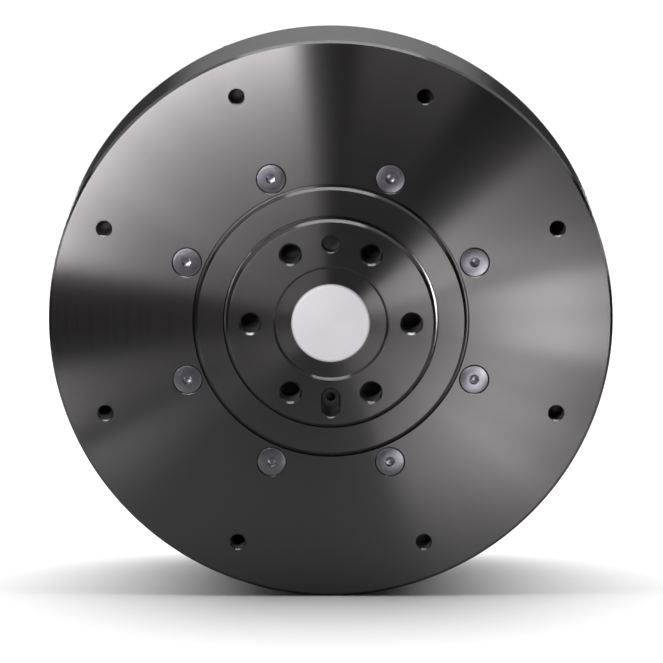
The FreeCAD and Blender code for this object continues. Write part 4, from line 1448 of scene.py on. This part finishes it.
class Spares(Enum):
    """What a lamp doesn't reach."""

    NOTHING = auto()
    FLOOR = auto()
    FLOOR_AND_FRONT = auto()


@dataclass
class Lamp:
    """A soft rectangular light, aimed at a point."""

    name: str
    place: tuple[float, float, float]
    aim: tuple[float, float, float]
    width: float
    height: float
    watts: float
    spares: Spares = Spares.NOTHING

    def build(self, floor: bpy.types.Object, front: Sequence[bpy.types.Object]) -> None:
        """Makes the light.

        Args:
            floor: the floor.
            front: the front's small pieces.
        """
        light = panel(self.name, (self.width, self.height), self.watts)
        towards = Vector(self.aim) - Vector(self.place)
        light.rotation_euler = towards.to_track_quat("-Z", "Y").to_euler()
        light.location = self.place
        if self.spares is Spares.FLOOR:
            spare(light, floor)
        elif self.spares is Spares.FLOOR_AND_FRONT:
            spare(light, floor, *front)


@dataclass
class ArcLamp:
    """An arc of soft panels round the lens axis, close in front of the turned face.

    The arc is laid out by where its reflection stands on the face: a circle about the axis.
    """

    name: str
    start: float                 # degrees, from +X towards +Z
    end: float
    mirror_r: float              # radius of its reflection on the face, in metres
    watts: float                 # for each 10 degrees
    depth: float = 0.018         # a panel's size along the radius
    gap: float = 0.1             # from the face to the panels

    def build(self, eye: Vector, floor: bpy.types.Object) -> None:
        """Makes the panels.

        Args:
            eye: where the camera stands.
            floor: the floor, which they don't light.
        """
        count = max(1, round((self.end - self.start) / 10))
        step = (self.end - self.start) / count
        ratio = self.gap / (-eye.y - self.gap)
        width = 2 * self.mirror_r * (1 + ratio) * math.tan(math.radians(step / 2))
        for i in range(count):
            angle = self.start + (i + 0.5) * step
            x, z = polar(self.mirror_r, angle)
            place = Vector((x * (1 + ratio) - ratio * eye.x, -self.gap, z * (1 + ratio) - ratio * eye.z))
            light = panel(f"{self.name}_{i + 1}", (self.depth, width), self.watts * step / 10)
            light.data.color = (1.0, 0.955, 0.972)
            light.rotation_euler = (Matrix.Rotation(-math.radians(angle), 4, "Y") @ TO_ROW).to_euler()
            light.location = place
            spare(light, floor)


@dataclass
class Studio:
    """Floor, world, lights and camera."""

    elevation: float = 10.27
    distance: float = 0.873
    lens: float = 273.0
    shift: tuple[float, float] = (0.001, -0.0156)
    room: float = 0.03
    arcs: list[ArcLamp] = field(default_factory=lambda: [
        ArcLamp("upper_left", 96.5, 146.0, 0.063, 0.0420),
        ArcLamp("upper_left_low", 146.0, 166.5, 0.067, 0.0620),
        ArcLamp("upper_left_inner", 92.0, 146.0, 0.034, 0.0010),
        ArcLamp("right", -6.0, 15.0, 0.038, 0.0105),
        ArcLamp("right_fade", 15.0, 25.0, 0.038, 0.0034),
        ArcLamp("right_inner", 22.0, 44.0, 0.020, 0.0034),
        ArcLamp("upper_right", 25.0, 43.0, 0.040, 0.0018),
        ArcLamp("lower_right", 320.0, 354.0, 0.031, 0.0052),
        ArcLamp("lower_right_fade", 294.0, 320.0, 0.029, 0.0036),
        ArcLamp("left", 189.0, 206.0, 0.070, 0.0170),
        ArcLamp("lower_left", 206.0, 222.0, 0.046, 0.0022),
        ArcLamp("top", 61.0, 84.0, 0.055, 0.0015),
    ])
    lamps: list[Lamp] = field(default_factory=lambda: [
        Lamp("overhead", (0.1, 0.75, 1.40), (0.1, 0.75, 0), 6.5, 2.0, 131.0),
        Lamp("back_glow", (0.0, 1.2, 0.36), (0, 0, 0), 0.72, 0.20, 0.62, Spares.FLOOR_AND_FRONT),
        Lamp("edge_light", (0.0, -0.22, 1.20), (0, 0, 0), 1.0, 0.12, 8.0, Spares.FLOOR),
        Lamp("side_left", (-1.3, 0.75, 0.12), (0, 0.01, 0), 0.7, 0.3, 24.0, Spares.FLOOR_AND_FRONT),
        Lamp("side_right", (1.3, 0.75, 0.12), (0, 0.01, 0), 0.7, 0.3, 24.0, Spares.FLOOR_AND_FRONT),
        Lamp("rear_left", (-1.0, 1.15, 0.04), (0, 0.03, 0), 0.5, 0.16, 16.0, Spares.FLOOR_AND_FRONT),
        Lamp("rear_right", (1.0, 1.15, 0.04), (0, 0.03, 0), 0.5, 0.16, 8.0, Spares.FLOOR_AND_FRONT),
    ])

    def floor(self) -> bpy.types.Object:
        """A pale paper floor under the object, which stays dim in the object's own reflections."""
        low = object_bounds()[0][2]
        mesh = bmesh.new()
        size = 8.0
        corners = [(-size, -size), (size, -size), (size, size), (-size, size)]
        mesh.faces.new([mesh.verts.new((x, y, low)) for x, y in corners])
        data = bpy.data.meshes.new("floor")
        mesh.to_mesh(data)
        mesh.free()
        floor = placed("floor", data)
        graph = Graph("floor_paper")
        point = graph.object_point()
        x, y, _ = graph.parts(point)
        reach = from_axis(x, y)
        haze = graph.noise(point, 3.0, 2.0)
        seen = graph.add("ShaderNodeLightPath", output="Is Camera Ray")
        pale = graph.blend(haze, (0.95, 0.95, 0.95), (0.97, 0.97, 0.97))
        dim = graph.blend(reach.span(0.12, 0.24), (0.8, 0.8, 0.8), (0.03, 0.03, 0.03))
        graph.set(Base_Color=graph.blend(seen, dim, pale), Roughness=0.9, Specular_IOR_Level=0.0)
        glow = graph.add("ShaderNodeEmission", inputs={"Strength": 1.05})
        paper = Value(graph, graph.shader.outputs[0])
        far = reach.span(0.16, 0.45) * seen
        graph.finish(graph.add("ShaderNodeMixShader", inputs={0: far, 1: paper, 2: glow}))
        data.materials.append(graph.material)
        floor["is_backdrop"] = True
        return floor

    def world(self) -> None:
        """White behind the object, and a dim room in reflections."""
        world = bpy.data.worlds.new("studio")
        bpy.context.scene.world = world
        world.use_nodes = True
        tree = world.node_tree
        tree.nodes.clear()
        path = tree.nodes.new("ShaderNodeLightPath")
        seen, room = tree.nodes.new("ShaderNodeBackground"), tree.nodes.new("ShaderNodeBackground")
        seen.inputs["Color"].default_value = (1, 1, 1, 1)
        seen.inputs["Strength"].default_value = 1.05
        room.inputs["Color"].default_value = (1, 1, 1, 1)
        room.inputs["Strength"].default_value = self.room
        mix = tree.nodes.new("ShaderNodeMixShader")
        output = tree.nodes.new("ShaderNodeOutputWorld")
        tree.links.new(path.outputs["Is Camera Ray"], mix.inputs[0])
        tree.links.new(room.outputs[0], mix.inputs[1])
        tree.links.new(seen.outputs[0], mix.inputs[2])
        tree.links.new(mix.outputs[0], output.inputs["Surface"])

    def camera(self) -> bpy.types.Object:
        """The camera, looking at the centre of the case's front face."""
        data = bpy.data.cameras.new("camera")
        data.lens, data.sensor_width = self.lens, 36.0
        data.shift_x, data.shift_y = self.shift
        data.clip_start, data.clip_end = 0.01, 50.0
        camera = placed("camera", data)
        tilt = math.radians(self.elevation)
        place = Vector((0.0, -math.cos(tilt), math.sin(tilt))) * self.distance
        camera.location = place
        camera.rotation_euler = (-place).to_track_quat("-Z", "Y").to_euler()
        bpy.context.scene.camera = camera
        return camera

    def build(self, front: Sequence[bpy.types.Object]) -> None:
        """Sets the studio up.

        Args:
            front: the front's small pieces, which the side lamps don't reach.
        """
        floor = self.floor()
        self.world()
        camera = self.camera()
        for lamp in self.lamps:
            lamp.build(floor, front)
        for arc in self.arcs:
            arc.build(camera.location, floor)
        bpy.context.scene.view_settings.view_transform = "Standard"


def main() -> None:
    """Builds every sub-assembly and the studio, in order."""
    logging.basicConfig(level=logging.INFO, format="%(message)s")
    case, output = FrontCase().build(), OutputStage().build()
    pieces = [*case, *output, *RearCase().build(), *Connectors().build()]
    LOG.info("%d pieces, and %d inside", len(pieces), Interior().build())
    Studio().build([*case[1:], *output])


if __name__ == "__main__":
    main()
